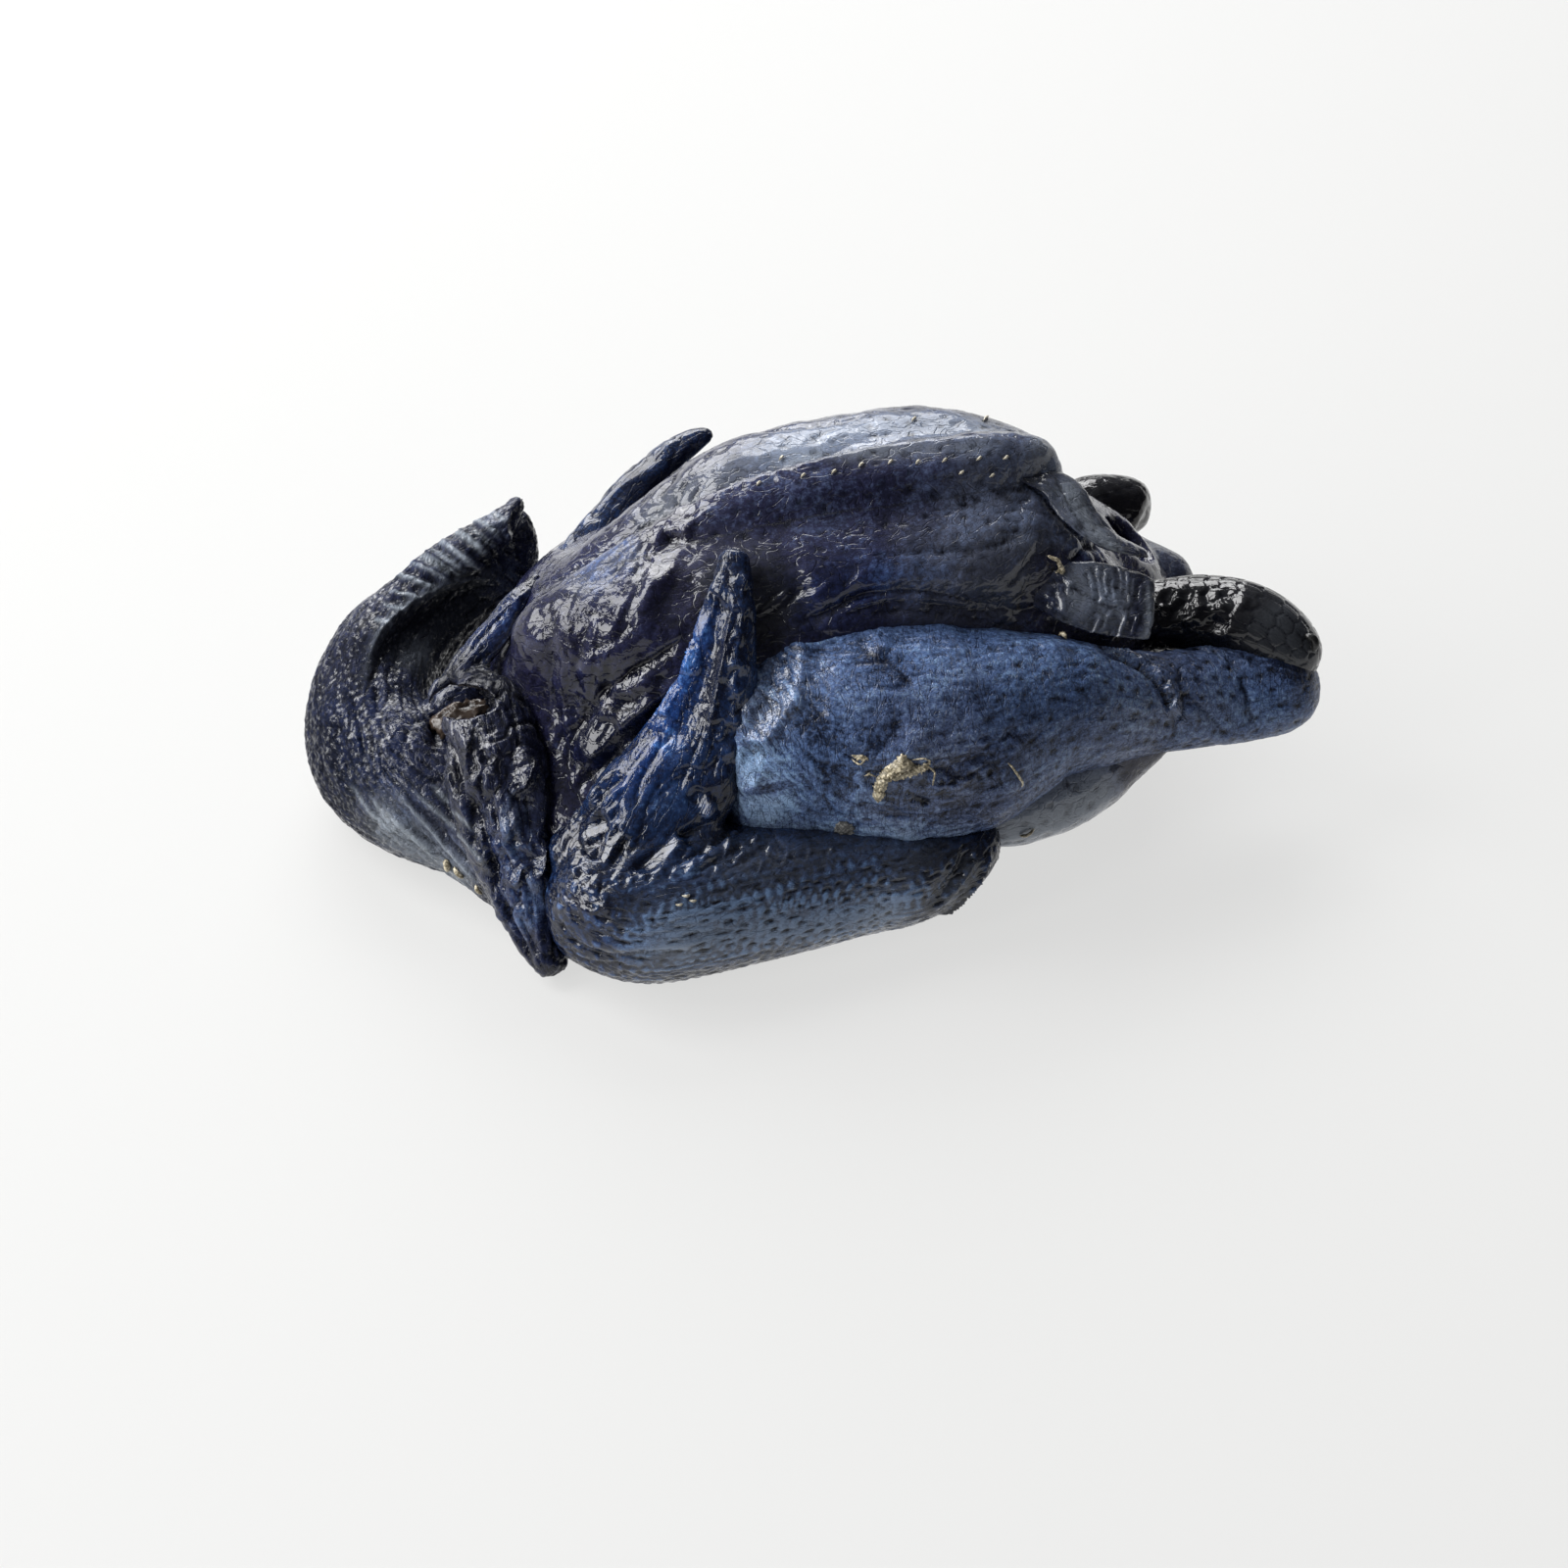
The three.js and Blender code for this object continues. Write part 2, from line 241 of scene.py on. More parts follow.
def nearest(points, places):
    """The number of the place nearest to each point, and the square of its distance."""
    square = (points ** 2).sum(1)[:, None] + (places ** 2).sum(1)[None] - 2 * points @ places.T
    best = square.argmin(1)
    return best, np.maximum(square[np.arange(len(points)), best], 0)


def hashed(a, b, seed):
    """A number from 0 to 1 for each pair of whole numbers."""
    v = np.sin(a * 127.1 + b * 311.7 + seed * 74.7) * 43758.5453
    return v - np.floor(v)


def smoothstep(v, low, high):
    """Rises smoothly from 0 at low to 1 at high."""
    t = np.clip((v - low) / (high - low), 0, 1)
    return t * t * (3 - 2 * t)


# ---------------------------------------------------------------- limbs
class Limb:
    """A round-ended limb along a smooth curve through its stations."""

    END_CROWDING = 0.6

    def __init__(self, stations, side=UPRIGHT, ends=(1.0, 1.0)):
        self.stations = np.asarray(stations, float)
        self.side, self.ends = np.asarray(side, float), ends

    def rail(self, rings):
        """Centres, directions and half sizes at rings + 1 places, crowded at the tips."""
        m = len(self.stations)
        phi = np.linspace(0, math.pi, rings + 1)
        t = (1 - self.END_CROWDING) * phi / math.pi + self.END_CROWDING * (1 - np.cos(phi)) / 2
        s = t * (m - 1)
        row = through(self.stations, s)
        ahead = through(self.stations[:, :3], np.minimum(s + 1e-3, m - 1))
        behind = through(self.stations[:, :3], np.maximum(s - 1e-3, 0))
        centre, forward = row[:, :3], unit(ahead - behind)
        up = unit(self.side - (forward @ self.side)[:, None] * forward)
        out = np.cross(up, forward)
        half = np.maximum(row[:, 3:5], 0.3)
        gone = np.r_[0, np.cumsum(np.linalg.norm(np.diff(centre, axis=0), axis=1))]

        def rounding(distance, radius):
            q = np.clip(distance / max(radius, 0.5), 0, 1)
            return np.sqrt(1 - (1 - q) ** 2)

        first = self.ends[0] * self.stations[0, 3:5].min()
        last = self.ends[1] * self.stations[-1, 3:5].min()
        full = rounding(gone, first) * rounding(gone[-1] - gone, last)
        return centre, forward, up, out, half, full, gone

    def mesh(self, sides=72, rings=90):
        """Corners and faces of the closed limb."""
        centre, _, up, out, half, full, _ = self.rail(rings)
        angle = np.linspace(0, 2 * math.pi, sides, endpoint=False)
        body = slice(1, rings)
        reach = (half * full[:, None])[body]
        ring = (centre[body, None] + reach[:, 0, None, None] * np.cos(angle)[None, :, None] * out[body, None]
                + reach[:, 1, None, None] * np.sin(angle)[None, :, None] * up[body, None])
        corners = np.vstack([ring.reshape(-1, 3), centre[:1], centre[-1:]])
        rows = rings - 1
        first, last = rows * sides, rows * sides + 1
        faces = []
        for r in range(rows - 1):
            for c in range(sides):
                d = (c + 1) % sides
                faces.append((r * sides + c, r * sides + d, (r + 1) * sides + d, (r + 1) * sides + c))
        for c in range(sides):
            d = (c + 1) % sides
            faces.append((first, d, c))
            faces.append((last, (rows - 1) * sides + c, (rows - 1) * sides + d))
        return corners, faces

    def fields(self, p, rings=120):
        """For each point: signed distance from the limb's skin, distance along it, angle round it,
        mean radius there and the limb's direction."""
        centre, forward, up, out, half, full, gone = self.rail(rings)
        near = np.argmin((centre ** 2).sum(1)[None] - 2 * p @ centre.T, axis=1)
        away = p - centre[near]
        a, h = half[near, 0], half[near, 1]
        x = (away * out[near]).sum(1) / a
        y = (away * up[near]).sum(1) / h
        w = (away * forward[near]).sum(1)
        inner = np.minimum(a, h)
        ends = np.where((near == 0) | (near == rings), w / inner, 0)
        distance = (np.sqrt(x * x + y * y + ends ** 2) - full[near]) * inner
        seen = 1 if (out.mean(0) @ BACK) > 0 else -1
        return distance, gone[near] + w, np.arctan2(y, x * seen), np.sqrt((a * a + h * h) / 2), forward[near]


# ---------------------------------------------------------------- skins
FEWEST_FACES = 1000
FAR_AWAY = 99.0
WRINKLE_SAMPLES = 11
# A hollow this deep beside the skin around it gets the full painted shade, and skin this near the table
# gives.
DEEP_HOLLOW = 0.35
GIVE = 0.6
MARGIN = 3
PAINTS = ("tone", "wet", "follicle", "hollow_shade", "blue", "ash", "grain")


def new_object(name, corners, faces):
    """An object in the scene with this mesh."""
    mesh = bpy.data.meshes.new(name)
    mesh.from_pydata([tuple(c) for c in corners], [], faces)
    obj = bpy.data.objects.new(name, mesh)
    bpy.context.scene.collection.objects.link(obj)
    return obj


def limbs_object(name, limbs):
    """All the limbs as one object, not yet joined."""
    corners, faces, count = [], [], 0
    for limb in limbs:
        c, f = limb.mesh()
        corners.append(c)
        faces.extend(tuple(i + count for i in face) for face in f)
        count += len(c)
    return new_object(name, np.vstack(corners), faces)


def fuse(limbs, voxel, hollows):
    """One closed skin of even quads over all the limbs, opened by the hollows."""
    obj = limbs_object("fusing", limbs)
    used = [obj]
    remesh = obj.modifiers.new("Fuse", "REMESH")
    remesh.mode, remesh.voxel_size = "VOXEL", voxel
    if hollows:
        tool = limbs_object("hollowing", hollows)
        used.append(tool)
        cut = obj.modifiers.new("Hollow", "BOOLEAN")
        cut.operation, cut.solver, cut.object = "DIFFERENCE", "EXACT", tool
        again = obj.modifiers.new("Even", "REMESH")
        again.mode, again.voxel_size = "VOXEL", voxel
    graph = bpy.context.evaluated_depsgraph_get()
    mesh = bpy.data.meshes.new_from_object(obj.evaluated_get(graph))
    for o in used:
        bpy.data.objects.remove(o)
    if len(mesh.polygons) < FEWEST_FACES:
        raise RuntimeError("the limbs did not fuse into one skin")
    return Skin(mesh, limbs)


def cast(tree, path, step=3.0):
    """The smooth path through these picture points, laid on a surface: places and normals."""
    path = np.asarray(path, float)
    if len(path) > 1:
        length = np.linalg.norm(np.diff(path, axis=0), axis=1).sum()
        path = through(path, np.linspace(0, len(path) - 1, max(int(length / step), 4)))
    places, normals, depth = [], [], VIEW_DISTANCE
    for x, y in path:
        ray = -BACK * VIEW_FOCAL + RIGHT * (x - PICTURE / 2) - UP * (y - PICTURE / 2)
        ray = ray / np.linalg.norm(ray)
        hit, normal, _, far = tree.ray_cast(Vector(EYE), Vector(ray))
        if hit is None:
            hit, normal, _, _ = tree.find_nearest(Vector(EYE + ray * depth))
        else:
            depth = far
        places.append(hit)
        normals.append(normal)
    places, normals = np.array(places, float), np.array(normals, float)
    if len(places) > 4:
        for _ in range(3):
            places[1:-1] = (places[:-2] + 2 * places[1:-1] + places[2:]) / 4
            normals[1:-1] = (normals[:-2] + 2 * normals[1:-1] + normals[2:]) / 4
    return places, unit(normals)


class Skin:
    """A skin held as arrays, in millimetres, while it is folded and painted."""

    def __init__(self, mesh, limbs):
        self.mesh, self.limbs = mesh, limbs
        self.count = len(mesh.vertices)
        co = np.empty(self.count * 3, np.float32)
        mesh.vertices.foreach_get("co", co)
        self.co = co.reshape(-1, 3).astype(float)
        edges = np.empty(len(mesh.edges) * 2, np.int32)
        mesh.edges.foreach_get("vertices", edges)
        self.edges = edges.reshape(-1, 2)
        mesh.calc_loop_triangles()
        triangles = np.empty(len(mesh.loop_triangles) * 3, np.int32)
        mesh.loop_triangles.foreach_get("vertices", triangles)
        self.triangles = triangles.reshape(-1, 3)
        self.degree = np.maximum(np.bincount(self.edges.ravel(), minlength=self.count), 1)
        self.paint = {name: np.zeros(self.count) for name in PAINTS}
        self.tree, self.flat = None, np.zeros(self.count)
        self.cell = float(np.linalg.norm(
            self.co[self.edges[:4000, 0]] - self.co[self.edges[:4000, 1]], axis=1).mean())

    def neighbours(self, values):
        """The mean of each corner's neighbours."""
        a, b = self.edges[:, 0], self.edges[:, 1]
        flat = values.ndim == 1
        v = values[:, None] if flat else values
        out = np.stack([np.bincount(a, v[b, k], self.count) + np.bincount(b, v[a, k], self.count)
                        for k in range(v.shape[1])], 1) / self.degree[:, None]
        return out[:, 0] if flat else out

    def relax(self, rounds, amount=0.6):
        """Evens the skin out."""
        amount = amount if np.isscalar(amount) else amount[:, None]
        for _ in range(rounds):
            self.co += (self.neighbours(self.co) - self.co) * amount

    def soften(self, values, rounds):
        """Blurs the corners' values."""
        for _ in range(rounds):
            values = (values + self.neighbours(values)) / 2
        return values

    def normals(self, rounds=0):
        """The skin's outward directions, blurred over some rounds."""
        p, t = self.co, self.triangles
        face = np.cross(p[t[:, 1]] - p[t[:, 0]], p[t[:, 2]] - p[t[:, 0]])
        n = np.stack([sum(np.bincount(t[:, j], face[:, k], self.count) for j in range(3))
                      for k in range(3)], 1)
        return unit(self.soften(unit(n), rounds))

    def measure(self):
        """Works out which limb each corner belongs to, and where on it."""
        fields = [np.stack(field) for field in zip(*(limb.fields(self.co) for limb in self.limbs))]
        distance = fields[0]
        self.owner = distance.argmin(0)
        pick = np.arange(self.count)
        order = np.sort(distance, axis=0)
        self.gap = order[1] - order[0] if len(order) > 1 else np.full(self.count, FAR_AWAY)
        self.along, self.around, self.radius, flow = (field[self.owner, pick] for field in fields[1:])
        self.lay_flow(flow)

    def lay_flow(self, flow):
        """Keeps these directions as the lie of the skin, laid flat on it."""
        normal = self.normals(4)
        self.flow = unit(flow - (flow * normal).sum(1)[:, None] * normal)

    def blend_junctions(self, width, rounds):
        """Rounds the creases where limbs meet."""
        self.measure()
        weight = self.soften(np.exp(-np.maximum(self.gap, 0) / width), 4)
        weight[weight < 0.05] = 0
        self.relax(rounds, weight * 0.9)

    # -- strokes drawn in the main view
    def aim(self):
        """Keeps the skin as it is now, for strokes to land on."""
        self.tree = BVHTree.FromPolygons(self.co.tolist(), self.triangles.tolist())
        self.rest, self.rest_normal = self.co.copy(), self.normals(2)

    def along_stroke(self, path, reach):
        """Corners within reach of the stroke: their numbers, signed distance across it (positive
        on the right of its travel), distance from it and how far along it they are, 0 to 1."""
        places, normals = cast(self.tree, path)
        low, high = places.min(0) - reach, places.max(0) + reach
        near = np.flatnonzero(((self.rest > low) & (self.rest < high)).all(1))
        if not len(near):
            return near, None, None, None
        best, square = nearest(self.rest[near], places)
        travel = unit(np.gradient(places, axis=0)) if len(places) > 1 else RIGHT[None]
        away = self.rest[near] - places[best]
        facing = (self.rest_normal[near] * normals[best]).sum(1)
        distance = np.sqrt(square)
        keep = (distance < reach) & (facing > 0.15)
        across = (away * np.cross(travel[best], normals[best])).sum(1)
        last = max(len(places) - 1, 1)
        return near[keep], across[keep], distance[keep], best[keep] / last

    def fold(self, strokes):
        """Presses each stroke into the skin, or raises it."""
        push = np.zeros(self.count)
        wobble = Noise(11)
        for kind, width, depth, path in strokes:
            near, across, distance, part = self.along_stroke(path, width * 3.2)
            if not len(near):
                continue
            u = distance / width
            sway = 0.25 * wobble(self.rest[near] / (3 * width + 2))
            u = np.maximum(u + sway * np.minimum(u, 1), 0)
            fade = faded_ends(part, path, -0.02, 0.22)
            push[near] += depth * fade * PROFILES[kind](u, np.sign(across))
        self.co += self.normals(3) * push[:, None]

    def flatten(self, marks):
        """Lays small flats in the skin, each tilted so that it mirrors one of the windows."""
        for window, width, amount, path in marks:
            near, _, distance, _ = self.along_stroke(path, width * 1.6)
            if len(near):
                facing = unit(BACK + toward_window(window))
                weight = amount * (1 - smoothstep(distance / width, 0.7, 1.5))
                p = self.co[near]
                centre = (p * weight[:, None]).sum(0) / weight.sum()
                self.co[near] -= facing * (((p - centre) @ facing) * weight)[:, None]
                self.flat[near] = np.maximum(self.flat[near], weight)

    def tint(self, marks):
        """Paints soft strokes and patches: (what, width, amount, path)."""
        for what, width, amount, path in marks:
            near, _, distance, part = self.along_stroke(path, width * 2.6)
            if len(near):
                fade = faded_ends(part, path, -0.05, 0.2)
                self.paint[what][near] += amount * fade * np.exp(-(distance / width) ** 2)

    def patches(self, marks, base=0.0):
        """A weight for each corner, from soft strokes: (width, amount, path)."""
        weight = np.full(self.count, float(base))
        for width, amount, path in marks:
            near, _, distance, _ = self.along_stroke(path, width * 2.6)
            if len(near):
                weight[near] += amount * np.exp(-(distance / width) ** 2)
        return np.clip(weight, 0, 2)

    def steer(self, strokes):
        """Turns the lie of the skin along these strokes: (width, path)."""
        for width, path in strokes:
            places, _ = cast(self.tree, path)
            low, high = places.min(0) - 2.5 * width, places.max(0) + 2.5 * width
            near = np.flatnonzero(((self.rest > low) & (self.rest < high)).all(1))
            best, square = nearest(self.rest[near], places)
            weight = np.exp(-square / width ** 2)[:, None]
            travel = unit(np.gradient(places, axis=0))[best]
            flow = self.flow[near]
            travel = travel * np.sign((travel * flow).sum(1) + 1e-9)[:, None]
            self.flow[near] = unit(flow * (1 - weight) + travel * weight)
        self.lay_flow(self.flow)

    # -- fine relief
    def wrinkle(self, depth, spacing, length, seed, where=1.0, pale=0.0):
        """Narrow creases with flat skin between them, that run along the lie of the skin. pale paints the
        relief into the tone: the flats a little paler and the creases darker, as painted shade.
        """
        noise = Noise(seed)
        total, weights = np.zeros(self.count), 0.0
        for t in np.linspace(-1, 1, WRINKLE_SAMPLES):
            w = math.exp(-2 * t * t)
            total += w * noise((self.co + self.flow * (t * length / 2)) / spacing)
            weights += w * w
        total /= math.sqrt(weights)
        sharp = max(0.12, 1.4 * self.cell / spacing)
        relief = 0.25 * total - 0.8 * np.exp(-(total / sharp) ** 2)
        self.co += self.normals(1) * (relief * depth * where)[:, None]
        # painted shade and light: the tone follows the relief, darker in the creases
        self.paint["tone"] += (relief + 0.2) * pale * where

    def crumple(self, depth, spacing, seed, where=1.0, pale=0.0):
        """Tilted flats parted by narrow creases that run every way. pale paints the relief into the tone:
        raised flats paler as painted light, creases darker as painted shade.
        """
        warp = np.stack([Noise(seed + k)(self.co / (2.2 * spacing)) for k in range(3)], 1)
        p = self.co / spacing + 0.9 * warp
        large, small = Noise(seed + 5)(p), Noise(seed + 6)(p * 1.7 + 7)
        sharp = max(0.09, 1.3 * self.cell / spacing)
        relief = (0.8 * large - 0.6 * np.exp(-(large / sharp) ** 2)
                  + 0.15 * small - 0.25 * np.exp(-(small / (1.7 * sharp)) ** 2))
        self.co += self.normals(1) * (relief * depth * where)[:, None]
        # painted shade and light: the tone follows the relief, darker in the creases
        self.paint["tone"] += relief * pale * where

    def lumps(self, depth, spacing, seed, where=1.0):
        """Soft swellings."""
        self.co += self.normals(2) * (Noise(seed)(self.co / spacing) * depth * where)[:, None]

    def lattice(self, along, across, jitter, seed):
        """The nine nearest places of a staggered, uneven lattice on the skin: how far each lies
        from the corner, along and across, and a size of its own from 0 to 1."""
        turn = 2 * math.pi * self.radius
        columns = np.maximum(np.round(turn / across), 3)
        row = np.round(self.along / along)
        for step in (-1, 0, 1):
            r = row + step
            key, shift = r + 57 * self.owner, 0.5 * (r % 2)
            column = np.round(self.around / (2 * math.pi) * columns - shift)
            for side in (-1, 0, 1):
                c = column + side
                wrapped = np.mod(c, columns)
                dx = along * (r + jitter * (hashed(key, wrapped, seed) - 0.5) * 2) - self.along
                angle = (c + shift + jitter * (hashed(key, wrapped, seed + 3) - 0.5) * 2) / columns
                dy = (angle - self.around / (2 * math.pi)) * turn
                yield dx, dy, hashed(key, wrapped, seed + 7)

    def follicles(self, along, across, size, pit, rim, seed, where, jitter=0.28):
        """Staggered rows of feather pits. size is half an opening's length and width."""
        best = np.full(self.count, FAR_AWAY)
        for dx, dy, own in self.lattice(along, across, jitter, seed):
            best = np.minimum(best, np.hypot(dx / size[0], dy / size[1]) / (0.75 + 0.5 * own))
        dot = np.exp(-2.2 * best ** 2)
        ring = np.exp(-4 * (best - 1.15) ** 2)
        self.co += self.normals(2) * ((rim * ring - pit * dot) * where)[:, None]
        self.paint["follicle"] = np.maximum(self.paint["follicle"], dot * where)

    def scales(self, along, across, gap, depth, dome, seed, where):
        """Overlapping horny plates in staggered rows."""
        first, second = np.full(self.count, FAR_AWAY), np.full(self.count, FAR_AWAY)
        for dx, dy, _ in self.lattice(along, across, 0.125, seed):
            q = np.hypot(dx, dy * along / across)
            second = np.minimum(second, np.maximum(q, first))
            first = np.minimum(first, q)
        edge = np.exp(-((second - first) / gap) ** 2)
        rise = dome * (1 - (2 * first / along) ** 2)
        self.co += self.normals(2) * ((rise - depth * edge) * where)[:, None]
        self.paint["follicle"] = np.maximum(self.paint["follicle"], 0.8 * edge * where)

    def shade_hollows(self):
        """Paints shade into hollows and pits: the colour is darker there as painted shade."""
        n = self.normals()
        wide = self.co
        for _ in range(6):
            wide = self.neighbours(wide)
        depth = ((wide - self.co) * n).sum(1)
        # painted shade: the deeper the hollow, the darker its colour
        self.paint["hollow_shade"] = np.clip(depth / DEEP_HOLLOW, -1, 1)

    def colour(self, tone, wet, tints=()):
        """Paints shade into the hollows, lays an even tone and wetness, and paints the tints over them."""
        self.shade_hollows()
        self.paint["tone"] += tone
        self.paint["wet"] += wet
        self.tint(tints)

    def settle(self):
        """Flattens the skin where it lies on the table."""
        z = self.co[:, 2]
        low = z < GIVE
        self.co[low, 2] = np.maximum(0, GIVE * np.exp((z[low] - GIVE) / GIVE) - 0.05)

    def keep_inside(self):
        """Holds the skin within the solid's box and a little round it."""
        low = np.array(CAD_LOW) / MM - (MARGIN, MARGIN, 0)
        self.co = np.clip(self.co, low, np.array(CAD_HIGH) / MM + MARGIN)

    def finish(self, name, material, slot):
        """Makes the object, hands it to the frame and gives it its material."""
        self.keep_inside()
        mesh = self.mesh
        mesh.name = name
        mesh.vertices.foreach_set("co", (self.co * MM).astype(np.float32).ravel())
        for layer, values in self.paint.items():
            layer = mesh.attributes.new(layer, "FLOAT", "POINT")
            layer.data.foreach_set("value", values.astype(np.float32))
        lie = np.stack([self.along, self.around * self.radius, 40.0 * self.owner], 1)
        mesh.attributes.new("lie", "FLOAT_VECTOR", "POINT").data.foreach_set(
            "vector", lie.astype(np.float32).ravel())
        mesh.materials.clear()
        mesh.update()
        obj = bpy.data.objects.new(name, mesh)
        bpy.context.scene.collection.objects.link(obj)
        hand_over(obj, material)


PROFILES = {
    "groove": lambda u, side: -np.exp(-u * u),
    "ridge": lambda u, side: np.exp(-u * u),
    "crease": lambda u, side: -np.exp(-1.7 * u),
    "crest": lambda u, side: np.exp(-1.7 * u),
    "lip": lambda u, side: side * np.exp(-1.1 * u) * np.minimum(1, 0.25 + 3 * u),
}


def hand_over(obj, material):
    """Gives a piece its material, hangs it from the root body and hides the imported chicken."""
    obj.data.polygons.foreach_set("use_smooth", np.ones(len(obj.data.polygons), bool))
    obj.data.materials.append(material)
    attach(obj, "root")
    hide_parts("chicken")


def make_skin(limbs, cell, folds=(), flow=(), flats=(), hollows=(), fillet=2.5, rounds=30):
    """Fuses limbs into one skin, rounds where they meet and presses the folds in."""
    skin = fuse(limbs, cell / MM, hollows)
    skin.relax(3)
    if len(limbs) > 1:
        skin.blend_junctions(fillet, rounds)
    skin.measure()
    skin.aim()
    skin.steer(flow)
    skin.fold(folds)
    skin.flatten(flats)
    return skin


# ---------------------------------------------------------------- scraps and hairs
def surface(name):
    """The finished skin of that name, ready to lay things on, in millimetres."""
    obj = bpy.data.objects.get(name)
    if obj is None:
        raise RuntimeError(f"make the piece {name} first")
    co = np.empty(len(obj.data.vertices) * 3, np.float32)
    obj.data.vertices.foreach_get("co", co)
    return BVHTree.FromPolygons((co.reshape(-1, 3) / MM).tolist(),
                                [tuple(p.vertices) for p in obj.data.polygons])


def finished_piece(name, corners, faces, material, slot):
    """Makes a small piece from corners in millimetres."""
    hand_over(new_object(name, np.asarray(corners) * MM, faces), material)


def tubes(trees, strands, sides=7):
    """Corners and faces of tapering strands: (skin, radius, lift, picture path)."""
    corners, faces = [], []
    for skin, radius, lift, path in strands:
        places, normals = cast(trees[skin], path, step=1.6)
        part = np.linspace(0, 1, len(places))
        centre = places + normals * (radius * 0.4 + lift * np.sin(math.pi * part))[:, None]
        travel = unit(np.gradient(centre, axis=0))
        right = unit(np.cross(travel, normals))
        up = np.cross(right, travel)
        size = radius * np.sqrt(np.clip(1.02 - np.abs(2 * part - 1) ** 3, 0.02, 1))
        base = len(corners)
        for c, u, r, q in zip(centre, up, right, size):
            for k in range(sides):
                a = 2 * math.pi * k / sides
                corners.append(c + q * (math.cos(a) * r + math.sin(a) * u))
        rows = len(centre)
        for i in range(rows - 1):
            for k in range(sides):
                j = (k + 1) % sides
                faces.append((base + i * sides + k, base + i * sides + j,
                              base + (i + 1) * sides + j, base + (i + 1) * sides + k))
        faces.append(tuple(base + k for k in reversed(range(sides))))
        faces.append(tuple(base + (rows - 1) * sides + k for k in range(sides)))
    return corners, faces


# In picture points: a scrap's lattice step, how ragged its edge is and how far in it has risen.
SCRAP_STEP = 1.2
SCRAP_RAGGED = 0.8
SCRAP_RIM = 7
SCRAP_EDGE_POINTS = 139
# In millimetres: how far its underside sinks into the skin.
SCRAP_SINK = 0.2


def scrap(tree, outline, thick, lift, seed):
    """Corners and faces of a torn, crumpled scrap lying on a skin."""
    outline = np.asarray(outline, float)
    round_trip = np.linspace(0, len(outline), SCRAP_EDGE_POINTS, endpoint=False)
    edge = through(np.vstack([outline, outline[:1]]), round_trip)
    random = np.random.default_rng(seed)
    edge += random.normal(size=edge.shape) * SCRAP_RAGGED
    low, high = edge.min(0), edge.max(0) + SCRAP_STEP
    xs, ys = np.arange(low[0], high[0], SCRAP_STEP), np.arange(low[1], high[1], SCRAP_STEP)
    x, y = np.meshgrid(xs, ys, indexing="ij")
    inside = np.zeros(x.shape, bool)
    for a, b in zip(edge, np.roll(edge, -1, 0)):
        crosses = (a[1] > y) != (b[1] > y)
        inside ^= crosses & (x < (b[0] - a[0]) * (y - a[1]) / (b[1] - a[1] + 1e-12) + a[0])
    cells = inside[:-1, :-1] & inside[1:, :-1] & inside[:-1, 1:] & inside[1:, 1:]
    squares = [((i, j), (i + 1, j), (i + 1, j + 1), (i, j + 1)) for i, j in zip(*np.nonzero(cells))]
    number, points = {}, []
    for corner in (c for square in squares for c in square):
        if corner not in number:
            number[corner] = len(points)
            points.append((xs[corner[0]], ys[corner[1]]))
    places, normals = map(np.vstack, zip(*(cast(tree, [point]) for point in points)))
    away = np.sqrt(((np.array(points)[:, None] - edge[None]) ** 2).sum(2).min(1))
    rise = smoothstep(away, 0, SCRAP_RIM)
    crumpled = np.abs(Noise(seed)(places / 1.6)) + 0.6 * np.abs(Noise(seed + 1)(places / 0.8))
    top = places + normals * (lift * rise * (0.5 + 1.4 * crumpled) + thick)[:, None]
    under = places - normals * SCRAP_SINK
    corners, n = np.vstack([top, under]), len(points)
    faces, sides = [], {}
    for square in squares:
        ring = [number[c] for c in square]
        faces.append(tuple(reversed(ring)))
        faces.append(tuple(k + n for k in ring))
        for a, b in zip(ring, ring[1:] + ring[:1]):
            sides[(a, b)] = True
    for a, b in sides:
        if (b, a) not in sides:
            faces.append((a, b, b + n, a + n))
    return corners, faces


